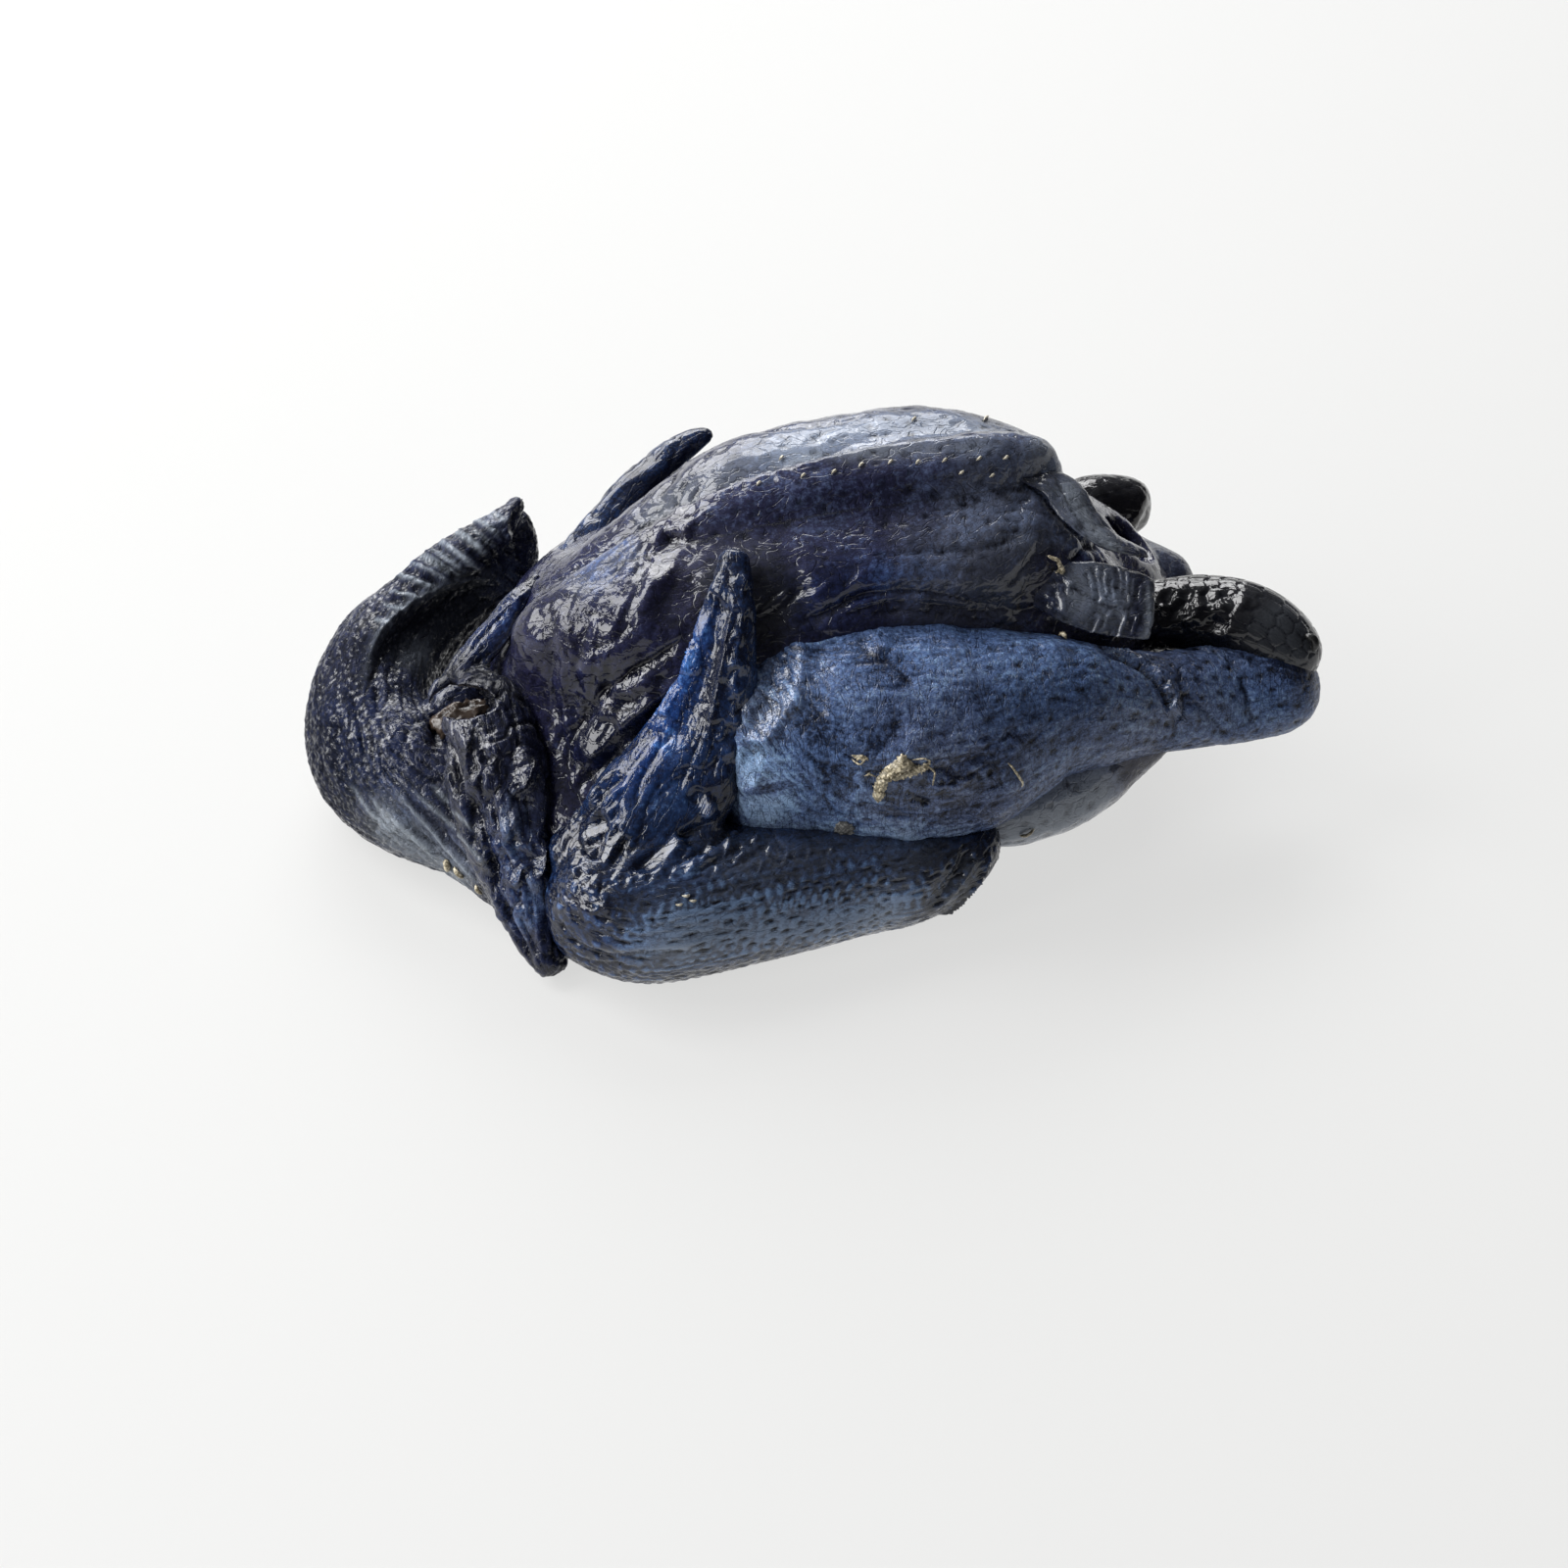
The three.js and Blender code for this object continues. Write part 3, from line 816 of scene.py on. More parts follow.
# ---------------------------------------------------------------- materials
class Nodes:
    """A node tree, filled by short calls that give the output of a new node."""

    def __init__(self, tree):
        self.tree = tree

    def feed(self, socket, value):
        """Links an output to the socket, or sets the socket to a number or a colour."""
        if isinstance(value, bpy.types.NodeSocket):
            self.tree.links.new(value, socket)
        elif isinstance(value, (int, float)):
            socket.default_value = value
        else:
            socket.default_value = (*value, 1)

    def math(self, kind, *values, clamp=False):
        n = self.tree.nodes.new("ShaderNodeMath")
        n.operation, n.use_clamp = kind, clamp
        for socket, value in zip(n.inputs, values):
            self.feed(socket, value)
        return n.outputs[0]

    def plus(self, a, b, clamp=False):
        return self.math("ADD", a, b, clamp=clamp)

    def minus(self, a, b, clamp=False):
        return self.math("SUBTRACT", a, b, clamp=clamp)

    def times(self, a, b, clamp=False):
        return self.math("MULTIPLY", a, b, clamp=clamp)

    def mix(self, factor, a, b, blend="MIX"):
        n = self.tree.nodes.new("ShaderNodeMix")
        n.data_type, n.blend_type = "RGBA", blend
        for socket, value in ((n.inputs[0], factor), (n.inputs[6], a), (n.inputs[7], b)):
            self.feed(socket, value)
        return n.outputs[2]

    def spread(self, value, low, high, at_low=0.0, at_high=1.0, smooth=False):
        """Carries values from low to high over to another range."""
        n = self.tree.nodes.new("ShaderNodeMapRange")
        n.interpolation_type = "SMOOTHSTEP" if smooth else "LINEAR"
        for socket, number in zip(n.inputs, (value, low, high, at_low, at_high)):
            self.feed(socket, number)
        return n.outputs[0]

    def painted(self, name, output="Fac"):
        """What the skin's corners hold under this name."""
        n = self.tree.nodes.new("ShaderNodeAttribute")
        n.attribute_name = name
        return n.outputs[output]

    def noise(self, scale, detail, roughness=0.55, distortion=0.0, place=None):
        n = self.tree.nodes.new("ShaderNodeTexNoise")
        place = place or self.tree.nodes.new("ShaderNodeTexCoord").outputs["Object"]
        for name, value in (("Vector", place), ("Scale", scale), ("Detail", detail),
                            ("Roughness", roughness), ("Distortion", distortion)):
            self.feed(n.inputs[name], value)
        return n.outputs["Fac"]

    def drawn_out(self, across, along, distortion):
        """Noise drawn out along the lie of the skin: sizes in millimetres."""
        scale = self.tree.nodes.new("ShaderNodeVectorMath")
        scale.operation = "MULTIPLY"
        scale.inputs[1].default_value = (1 / along, 1 / across, 1.0)
        self.feed(scale.inputs[0], self.painted("lie", "Vector"))
        return self.noise(1.0, 1, distortion=distortion, place=scale.outputs[0])

    def creased(self, value, width):
        """Turns soft noise into flats, 1, with narrow creases between, 0."""
        return self.spread(self.math("ABSOLUTE", self.minus(value, 0.5)), 0.0, width, smooth=True)

    def bump(self, height, strength, distance):
        n = self.tree.nodes.new("ShaderNodeBump")
        for name, value in (("Height", height), ("Strength", strength), ("Distance", distance)):
            self.feed(n.inputs[name], value)
        return n.outputs["Normal"]


def new_material(name):
    """A material, its nodes and its shader's sockets."""
    material = bpy.data.materials.new(name)
    material.use_nodes = True
    return material, Nodes(material.node_tree), material.node_tree.nodes["Principled BSDF"].inputs


BLUER = (0.65, 1.05, 1.55)
ASH = (0.24, 0.27, 0.31)
# near black for the follicle pits and for the painted shade in hollows and creases
FOLLICLE_AND_SHADE_BLACK = (0.003, 0.0035, 0.007)


def skin_material(name, finish, grain=1.0, crease=(2.6, 8.0), crackle=0.1, mottle=(800, 1.7)):
    """Thin moist skin: a dark ground that pales as its painted tone rises, partly its own paler skin and
    partly painted light, with dark follicle pits and painted shade in hollows and fine creases.
    crease is the size of one flat across and along the lie of the skin, in millimetres, and
    mottle how fine the specks are and how strong."""
    material, n, shader = new_material(name)
    cloud = n.noise(scale=60, detail=4, roughness=0.6)
    patchy = n.times(n.minus(cloud, 0.5), 0.9)
    fineness, strength = mottle
    specks = n.times(n.minus(n.noise(fineness, detail=4, roughness=0.75), 0.5), strength)
    tone = n.plus(n.plus(n.painted("tone"), patchy), specks, clamp=True)
    lower, upper = n.times(tone, 2.0, clamp=True), n.minus(n.times(tone, 2.0), 1.0, clamp=True)
    colour = n.mix(upper, n.mix(lower, finish.deep, finish.mid), finish.pale)
    warm = n.spread(n.noise(scale=24, detail=2, roughness=0.5), 0.42, 0.66, at_high=0.65)
    colour = n.mix(warm, colour, finish.cast, "MULTIPLY")
    colour = n.mix(n.painted("blue"), colour, n.mix(1.0, colour, BLUER, "MULTIPLY"))
    colour = n.mix(n.times(n.painted("ash"), 1.0, clamp=True), colour, ASH)
    coarse = n.creased(n.drawn_out(*crease, distortion=0.6), width=0.035)
    small = n.creased(n.drawn_out(across=0.8, along=1.6, distortion=0.4), width=0.06)
    # painted shade: the colour darkens along the fine creases of the bump pattern
    crease_shade = n.minus(1.0, n.times(small, coarse))
    dark = n.plus(n.times(n.painted("follicle"), 0.8), n.times(n.painted("hollow_shade"), 0.5))
    dark = n.plus(dark, n.times(crease_shade, 0.35), clamp=True)
    n.feed(shader["Base Color"], n.mix(dark, colour, FOLLICLE_AND_SHADE_BLACK))
    moist = n.plus(n.painted("wet"), n.times(n.minus(cloud, 0.5), 1.2), clamp=True)
    n.feed(shader["Roughness"], n.spread(moist, 0.0, 1.0, finish.dry, finish.wet))
    n.feed(shader["Coat Weight"], moist)
    for socket, number in (("Specular IOR Level", 0.05), ("IOR", 1.45), ("Coat Roughness", 0.04),
                           ("Coat IOR", 1.5)):
        shader[socket].default_value = number
    pores = n.noise(scale=1500, detail=1, roughness=0.5)
    height = n.plus(n.plus(n.times(coarse, 0.70), n.times(small, 0.35)), n.times(pores, 0.20))
    grains = n.times(n.noise(scale=900, detail=2), 10.0)
    film = n.plus(n.plus(coarse, n.times(small, crackle)), n.times(grains, n.painted("grain")))
    n.feed(shader["Normal"], n.bump(height, strength=1.0, distance=0.00013 * grain))
    n.feed(shader["Coat Normal"], n.bump(film, strength=1.0, distance=0.00005 * grain))
    return material


def flesh_material(name):
    """Raw brown-red flesh, wet."""
    material, n, shader = new_material(name)
    mottled = n.noise(scale=160, detail=4, roughness=0.6)
    colour = n.mix(mottled, (0.022, 0.016, 0.013), (0.085, 0.060, 0.045))
    # painted shade: the flesh darkens in its hollows
    dark = n.times(n.painted("hollow_shade"), 0.8, clamp=True)
    n.feed(shader["Base Color"], n.mix(dark, colour, (0.006, 0.004, 0.004)))
    shader["Roughness"].default_value = 0.22
    fibres = n.noise(scale=700, detail=3, roughness=0.6)
    n.feed(shader["Normal"], n.bump(fibres, strength=0.5, distance=0.0005))
    return material


def scrap_material(name, dark, light, roughness):
    """Dried scraps, hairs and quills: two mottled tones."""
    material, n, shader = new_material(name)
    mottled = n.creased(n.noise(scale=900, detail=3, roughness=0.6), width=0.16)
    n.feed(shader["Base Color"], n.mix(mottled, dark, light))
    shader["Roughness"].default_value = roughness
    fine = n.noise(scale=1500, detail=3, roughness=0.6)
    n.feed(shader["Normal"], n.bump(fine, strength=0.5, distance=0.0002))
    return material


# ---------------------------------------------------------------- settings
def length_setting(name, description, default):
    return FloatProperty(name=name, description=description, default=default, min=0.0,
                         subtype="DISTANCE", unit="LENGTH", precision=5)


def colour_setting(name, description, default):
    return FloatVectorProperty(name=name, description=description, default=default, size=3,
                               min=0.0, max=1.0, subtype="COLOR")


def factor_setting(name, description, default):
    return FloatProperty(name=name, description=description, default=default, min=0.0, max=1.0,
                         subtype="FACTOR")


def gloss_setting(state, default, surface="skin is"):
    return factor_setting(f"{state.title()} gloss", f"Roughness where the {surface} {state}", default)


def cast_setting(default):
    return colour_setting("Cast", "Tint of the warmer blotches", default)


class CellSettings(PropertyGroup):
    torso: length_setting("Torso cell", "Edge of one mesh cell on the torso", 0.00080)
    limb: length_setting("Limb cell", "Edge of one mesh cell on the near limbs, neck and vent", 0.00049)
    far: length_setting("Far cell", "Edge of one mesh cell on the far leg, far wing and tail", 0.00070)


class TorsoFinish(PropertyGroup):
    deep: colour_setting("Deep skin", "Darkest torso skin", (0.005, 0.005, 0.012))
    mid: colour_setting("Mid skin", "Usual torso skin", (0.016, 0.018, 0.050))
    pale: colour_setting("Pale skin", "Torso skin stretched thin", (0.080, 0.115, 0.225))
    cast: cast_setting((1.0, 0.80, 0.75))
    dry: gloss_setting("dry", 0.46)
    wet: gloss_setting("wet", 0.22)


class LegFinish(PropertyGroup):
    deep: colour_setting("Deep skin", "Darkest leg skin", (0.010, 0.017, 0.042))
    mid: colour_setting("Mid skin", "Usual leg skin", (0.078, 0.130, 0.275))
    pale: colour_setting("Pale skin", "Leg skin stretched thin", (0.220, 0.350, 0.560))
    cast: cast_setting((1.0, 0.72, 0.62))
    dry: gloss_setting("dry", 0.50)
    wet: gloss_setting("wet", 0.25)


class WingFinish(PropertyGroup):
    deep: colour_setting("Deep skin", "Darkest wing skin", (0.004, 0.007, 0.022))
    mid: colour_setting("Mid skin", "Usual wing skin", (0.013, 0.034, 0.106))
    pale: colour_setting("Pale skin", "Wing skin stretched thin", (0.100, 0.200, 0.400))
    cast: cast_setting((1.0, 0.75, 0.60))
    dry: gloss_setting("dry", 0.44)
    wet: gloss_setting("wet", 0.18)


class NeckFinish(PropertyGroup):
    deep: colour_setting("Deep skin", "Darkest neck skin", (0.004, 0.005, 0.011))
    mid: colour_setting("Mid skin", "Usual neck skin", (0.016, 0.021, 0.052))
    pale: colour_setting("Pale skin", "Neck skin stretched thin", (0.100, 0.130, 0.205))
    cast: cast_setting((1.0, 0.85, 0.75))
    dry: gloss_setting("dry", 0.44)
    wet: gloss_setting("wet", 0.18)


class ShankFinish(PropertyGroup):
    deep: colour_setting("Deep scale", "Darkest shank scale", (0.003, 0.003, 0.004))
    mid: colour_setting("Mid scale", "Usual shank scale", (0.009, 0.009, 0.011))
    pale: colour_setting("Pale scale", "Worn shank scale", (0.030, 0.030, 0.034))
    cast: cast_setting((1.0, 0.9, 0.85))
    dry: gloss_setting("dry", 0.30, "scales are")
    wet: gloss_setting("wet", 0.12, "scales are")


class StageSettings(PropertyGroup):
    floor: colour_setting("Floor", "Colour of the plain floor", (0.12, 0.12, 0.118))
    glow: FloatProperty(name="Floor glow", default=0.66, min=0.0,
                        description="How much the floor lights itself, as a white bench does")
    key: FloatProperty(name="Window light", description="Power of each square metre of the soft windows",
                       default=28.0, min=0.0, unit="POWER")
    sky: FloatProperty(name="Surroundings", description="Brightness of the pale surroundings",
                       default=1.0, min=0.0)


# ---------------------------------------------------------------- operators
class CHICKEN_OT_torso(Operator):
    """Makes the skin over back, breasts, keel and flank"""
    bl_idname = "chicken.torso"
    bl_label = "Torso skin"

    def execute(self, context):
        scene = context.scene
        limbs = [Limb(s) for s in TORSO.values()] + [Limb(SHOULDER, ACROSS)]
        skin = make_skin(limbs, scene.chicken_cells.torso, TORSO_FOLDS, TORSO_FLOW, TORSO_FLATS,
                         hollows=[Limb(VENT_OPENING)], fillet=6, rounds=60)
        crinkled = skin.patches(TORSO_CRINKLES, base=0.25) * (1 - 0.5 * skin.flat)
        skin.lumps(depth=0.35, spacing=7, seed=3)
        skin.follicles(along=4.6, across=4.6, size=(1.5, 1.3), pit=0.22, rim=0.22, seed=5,
                       where=0.55 * np.clip(1.3 - crinkled, 0, 1))
        skin.crumple(depth=0.40, spacing=8, seed=25, where=crinkled, pale=0.10)
        skin.wrinkle(depth=0.26, spacing=4.2, length=18, seed=21, where=crinkled, pale=0.1)
        skin.settle()
        skin.colour(tone=0.35, wet=0.8, tints=TORSO_TINTS)
        skin.finish("torso_skin", skin_material(
            "moist torso skin", scene.chicken_torso, crease=(3.4, 4.2), crackle=0.05), "skin")
        return {"FINISHED"}


class CHICKEN_OT_vent(Operator):
    """Makes the thin flap beside the vent and the loose rim of the belly"""
    bl_idname = "chicken.vent"
    bl_label = "Vent flap"

    def execute(self, context):
        scene = context.scene
        limbs = [Limb(s, VENT_FACING[part], ends=(1.0, 0.5)) for part, s in VENT_SKIN.items()]
        skin = make_skin(limbs, scene.chicken_cells.limb, VENT_FOLDS, VENT_FLOW, VENT_FLATS)
        crinkled = 1 - 0.8 * skin.flat
        skin.crumple(depth=0.20, spacing=6, seed=95, where=crinkled, pale=0.10)
        skin.wrinkle(depth=0.20, spacing=3.0, length=12, seed=91, where=crinkled, pale=0.1)
        skin.colour(tone=0.3, wet=0.9, tints=VENT_TINTS)
        skin.finish("vent_flap", skin_material(
            "moist vent skin", scene.chicken_neck, crease=(1.8, 6.0)), "skin")
        return {"FINISHED"}


class CHICKEN_OT_tail(Operator):
    """Makes the tail"""
    bl_idname = "chicken.tail"
    bl_label = "Tail"

    def execute(self, context):
        scene = context.scene
        skin = make_skin([Limb(TAIL)], scene.chicken_cells.far, TAIL_FOLDS)
        skin.wrinkle(depth=0.2, spacing=2.2, length=10, seed=31)
        skin.paint["ash"] += 0.06
        skin.colour(tone=0.5, wet=0.5)
        skin.finish("tail", skin_material("moist tail skin", scene.chicken_neck), "skin")
        return {"FINISHED"}


class CHICKEN_OT_legs(Operator):
    """Makes both thighs with their drumsticks"""
    bl_idname = "chicken.legs"
    bl_label = "Legs"

    def execute(self, context):
        scene = context.scene
        near = make_skin([Limb(NEAR_THIGH, ends=(0.6, 1.0))], scene.chicken_cells.limb,
                         LEG_FOLDS, LEG_FLOW, LEG_FLATS)
        far = make_skin([Limb(FAR_THIGH, ends=(0.6, 1.0))], scene.chicken_cells.far)
        for name, skin, crinkles, knee, puckers, tone, tints in (
                ("near_leg", near, LEG_CRINKLES, KNEE_CRINKLES, PUCKERS, 0.5, LEG_TINTS),
                ("far_leg", far, (), (), (), 0.2, ())):
            crinkled, fine = skin.patches(crinkles, base=0.65), skin.patches(knee, base=0.6)
            dotted = 0.35 + 0.65 * smoothstep(skin.along, 45, 75)
            skin.lumps(depth=0.25, spacing=6, seed=8)
            skin.follicles(along=4.3, across=4.3, size=(1.45, 1.1), pit=0.16, rim=0.05, seed=9,
                           where=0.85 * dotted)
            skin.crumple(depth=0.22, spacing=7, seed=45, where=crinkled, pale=0.10)
            skin.crumple(depth=0.30, spacing=2.8, seed=46, where=skin.patches(puckers), pale=0.25)
            skin.wrinkle(depth=0.22, spacing=2.8, length=12, seed=41, where=crinkled, pale=0.2)
            skin.wrinkle(depth=0.20, spacing=1.7, length=9, seed=42, where=fine, pale=0.25)
            skin.settle()
            skin.colour(tone, wet=0.35, tints=tints)
            skin.finish(name, skin_material(
                "stippled " + name.replace("_", " "), scene.chicken_leg, grain=2.2, crease=(5.0, 1.4),
                crackle=0.3, mottle=(1000, 1.8)), "skin")
        return {"FINISHED"}


class CHICKEN_OT_shanks(Operator):
    """Makes both scaly shanks"""
    bl_idname = "chicken.shanks"
    bl_label = "Shanks"

    def execute(self, context):
        scene = context.scene
        cells = scene.chicken_cells
        for name, stations, cell, flats, tints in (
                ("near_shank", NEAR_SHANK, cells.limb, SHANK_FLATS, SHANK_TINTS),
                ("far_shank", FAR_SHANK, cells.far, (), ())):
            skin = make_skin([Limb(stations)], cell, flats=flats)
            below_hock = 0.6 + 0.4 * smoothstep(skin.along, 14, 26)
            skin.scales(along=3.3, across=3.6, gap=0.36, depth=0.34, dome=0.04, seed=71,
                        where=below_hock)
            skin.colour(tone=0.25, wet=0.9, tints=tints)
            skin.finish(name, skin_material(
                "horny " + name.replace("_", " "), scene.chicken_shank, grain=0.5), "scales")
        return {"FINISHED"}


class CHICKEN_OT_wings(Operator):
    """Makes both folded wings"""
    bl_idname = "chicken.wings"
    bl_label = "Wings"

    def execute(self, context):
        scene = context.scene
        near = make_skin([Limb(s, HAND_FACING if part == "hand" else UPRIGHT)
                          for part, s in NEAR_WING.items()], scene.chicken_cells.limb,
                         WING_FOLDS, WING_FLOW, WING_FLATS)
        far = make_skin([Limb(s) for s in FAR_WING.values()], scene.chicken_cells.far)
        for name, skin, tone, tints in (("near_wing", near, 0.22, WING_TINTS),
                                        ("far_wing", far, 0.12, ())):
            forearm = (skin.owner == 0) * smoothstep(-skin.around, -1.5, -0.5)
            crinkled = (1 - 0.85 * skin.soften(forearm, 6)) * (1 - 0.6 * skin.flat)
            skin.follicles(along=4.4, across=2.3, size=(1.7, 0.60), pit=0.32, rim=0.14, seed=13,
                           where=0.8 * forearm, jitter=0.34)
            skin.wrinkle(depth=0.24, spacing=2.3, length=26, seed=57, where=forearm, pale=1.0)
            skin.crumple(depth=0.45, spacing=9, seed=55, where=crinkled, pale=0.12)
            skin.wrinkle(depth=0.22, spacing=3.6, length=14, seed=51, where=crinkled, pale=0.15)
            skin.settle()
            skin.colour(tone, wet=0.85, tints=tints)
            skin.finish(name, skin_material(
                "moist " + name.replace("_", " "), scene.chicken_wing), "skin")
        return {"FINISHED"}


class CHICKEN_OT_neck(Operator):
    """Makes the curled neck, the loose crop skin and its folds"""
    bl_idname = "chicken.neck"
    bl_label = "Neck and crop"

    def execute(self, context):
        scene = context.scene
        limbs = [Limb(s) for s in NECK.values()] + [Limb(CROP, ACROSS)]
        limbs += [Limb(s) for s in CROP_FOLDS.values()]
        skin = make_skin(limbs, scene.chicken_cells.limb, NECK_FOLDS, NECK_FLOW, NECK_FLATS,
                         hollows=[Limb(CROP_OPENING)])
        crop = len(NECK)
        hanging = np.where(skin.owner == crop, 1.0, np.where(skin.owner > crop, 0.3, 0.35))
        hanging = skin.soften(hanging, 12) * (1 - 0.6 * skin.flat)
        leathery = skin.soften(1.0 * (skin.owner < crop), 12)
        skin.crumple(depth=0.90, spacing=8, seed=65, where=hanging, pale=0.15)
        skin.wrinkle(depth=0.42, spacing=3.0, length=16, seed=61, pale=0.20)
        skin.wrinkle(depth=0.15, spacing=1.8, length=10, seed=62, pale=0.10)
        skin.lumps(depth=0.10, spacing=1.1, seed=63, where=leathery)
        skin.settle()
        # the leathery neck shines only in small specks
        sparkle = smoothstep(Noise(66)(skin.co / 0.8), 0.05, 0.40)
        skin.paint["grain"] += 0.3 * leathery
        skin.colour(tone=0.24, wet=0.8 + (0.95 * sparkle - 0.62) * leathery, tints=NECK_TINTS)
        skin.finish("neck_and_crop", skin_material(
            "moist neck skin", scene.chicken_neck, crease=(2.0, 4.0), crackle=0.3), "skin")
        return {"FINISHED"}


class CHICKEN_OT_flesh(Operator):
    """Makes the raw flesh seen through the crop opening"""
    bl_idname = "chicken.flesh"
    bl_label = "Crop flesh"

    def execute(self, context):
        skin = make_skin([Limb(CROP_FLESH)], context.scene.chicken_cells.limb)
        skin.lumps(depth=1.2, spacing=3.4, seed=82)
        skin.wrinkle(depth=1.0, spacing=2.4, length=9, seed=81)
        skin.wrinkle(depth=0.5, spacing=1.5, length=5, seed=83)
        skin.colour(tone=0.5, wet=0.9)
        skin.finish("crop_flesh", flesh_material("raw flesh"), "flesh")
        return {"FINISHED"}


class CHICKEN_OT_trimmings(Operator):
    """Makes the pin feathers, hairs and torn scraps left on the skin"""
    bl_idname = "chicken.trimmings"
    bl_label = "Pin feathers and scraps"

    def execute(self, context):
        names = ("torso_skin", "near_leg", "near_wing", "neck_and_crop", "near_shank")
        trees = {name: surface(name) for name in names}
        quill = scrap_material("pale quill", (0.30, 0.27, 0.20), (0.62, 0.58, 0.48), 0.4)
        membrane = scrap_material("torn membrane", (0.16, 0.135, 0.085), (0.68, 0.60, 0.43), 0.3)
        crust = scrap_material("dry crust", (0.05, 0.05, 0.05), (0.22, 0.22, 0.21), 0.5)
        spur = scrap_material("horny spur", (0.004, 0.004, 0.004), (0.02, 0.02, 0.02), 0.3)
        finished_piece("pin_feathers", *tubes(trees, PIN_FEATHERS), quill, "quill")
        finished_piece("hairs", *tubes(trees, HAIRS), membrane, "quill")
        finished_piece("hock_spur", *tubes(trees, SPUR, sides=10), spur, "scales")
        for name, (skin, outline, thick, lift) in SCRAPS.items():
            corners, faces = scrap(trees[skin], outline, thick, lift, len(name))
            finished_piece(name, corners, faces, crust if "crust" in name else membrane, "membrane")
        return {"FINISHED"}


# ---------------------------------------------------------------- stage
FLOOR_REACH = 6
WINDOW_DISTANCE = 1.2
LIT_POINT = (0, 0, 0.03)
# Where the surroundings start to brighten, and where they are brightest: share and colour.
SKY = ((0.45, (0.05, 0.05, 0.06, 1)), (1.0, (0.32, 0.33, 0.35, 1)))


def lay_floor(settings):
    """A plain pale floor that glows a little."""
    corners = [(x * FLOOR_REACH, y * FLOOR_REACH, 0) for x, y in ((-1, -1), (1, -1), (1, 1), (-1, 1))]
    floor = new_object("floor", corners, [(0, 1, 2, 3)])
    material, n, shader = new_material("plain floor")
    for socket, value in (("Base Color", settings.floor), ("Roughness", 0.6),
                          ("Specular IOR Level", 0.2), ("Emission Color", (1, 1, 0.99)),
                          ("Emission Strength", settings.glow)):
        n.feed(shader[socket], value)
    floor.data.materials.append(material)


def light_surroundings(scene, settings):
    """Dim surroundings that brighten towards one side."""
    scene.world = scene.world or bpy.data.worlds.new("surroundings")
    scene.world.use_nodes = True
    n = Nodes(scene.world.node_tree)
    toward = n.tree.nodes.new("ShaderNodeVectorMath")
    toward.operation = "DOT_PRODUCT"
    toward.inputs[1].default_value = BRIGHT_SIDE
    n.feed(toward.inputs[0], n.tree.nodes.new("ShaderNodeTexCoord").outputs["Generated"])
    ramp = n.tree.nodes.new("ShaderNodeValToRGB")
    for stop, (share, tint) in zip(ramp.color_ramp.elements, SKY):
        stop.position, stop.color = share, tint
    n.feed(ramp.inputs[0], n.plus(n.times(toward.outputs["Value"], 0.5), 0.5, clamp=True))
    background = n.tree.nodes["Background"].inputs
    n.feed(background["Color"], ramp.outputs[0])
    background["Strength"].default_value = settings.sky


def hang_window(scene, name, width, height, power):
    """A soft light that faces the bird."""
    light = bpy.data.lights.new(name + " window", "AREA")
    light.shape, light.size, light.size_y, light.energy = "RECTANGLE", width, height, power
    obj = bpy.data.objects.new(name + " window", light)
    place = Vector(toward_window(name) * WINDOW_DISTANCE)
    obj.location = place
    obj.rotation_mode = "QUATERNION"
    obj.rotation_quaternion = (Vector(LIT_POINT) - place).to_track_quat("-Z", "Y")
    scene.collection.objects.link(obj)


def place_camera(scene):
    """The main camera."""
    data = bpy.data.cameras.new("main camera")
    data.sensor_width = SENSOR
    data.lens = VIEW_FOCAL / PICTURE * SENSOR
    data.clip_start, data.clip_end = 0.05, 20
    camera = bpy.data.objects.new("main camera", data)
    turn = Matrix([list(RIGHT), list(UP), list(BACK)]).transposed().to_4x4()
    camera.matrix_world = Matrix.Translation(Vector(EYE * MM)) @ turn
    scene.collection.objects.link(camera)
    scene.camera = camera


class CHICKEN_OT_stage(Operator):
    """Makes the floor, the lights and the main camera"""
    bl_idname = "chicken.stage"
    bl_label = "Stage"

    def execute(self, context):
        scene, settings = context.scene, context.scene.chicken_stage
        lay_floor(settings)
        light_surroundings(scene, settings)
        for name, (_, _, width, height, share) in WINDOWS.items():
            hang_window(scene, name, width, height, settings.key * share * width * height)
        place_camera(scene)
        scene.view_settings.view_transform = "Standard"
        return {"FINISHED"}


class CHICKEN_PT_panel(Panel):
    """Lists the chicken's parts"""
    bl_idname = "CHICKEN_PT_panel"
    bl_label = "Raw Chicken"
    bl_space_type = "VIEW_3D"
    bl_region_type = "UI"
    bl_category = "Chicken"

    def draw(self, context):
        for operator in OPERATORS:
            self.layout.operator(operator.bl_idname)
        for key in SETTINGS:
            settings, box = getattr(context.scene, key), self.layout.box()
            for field in type(settings).__annotations__:
                box.prop(settings, field)


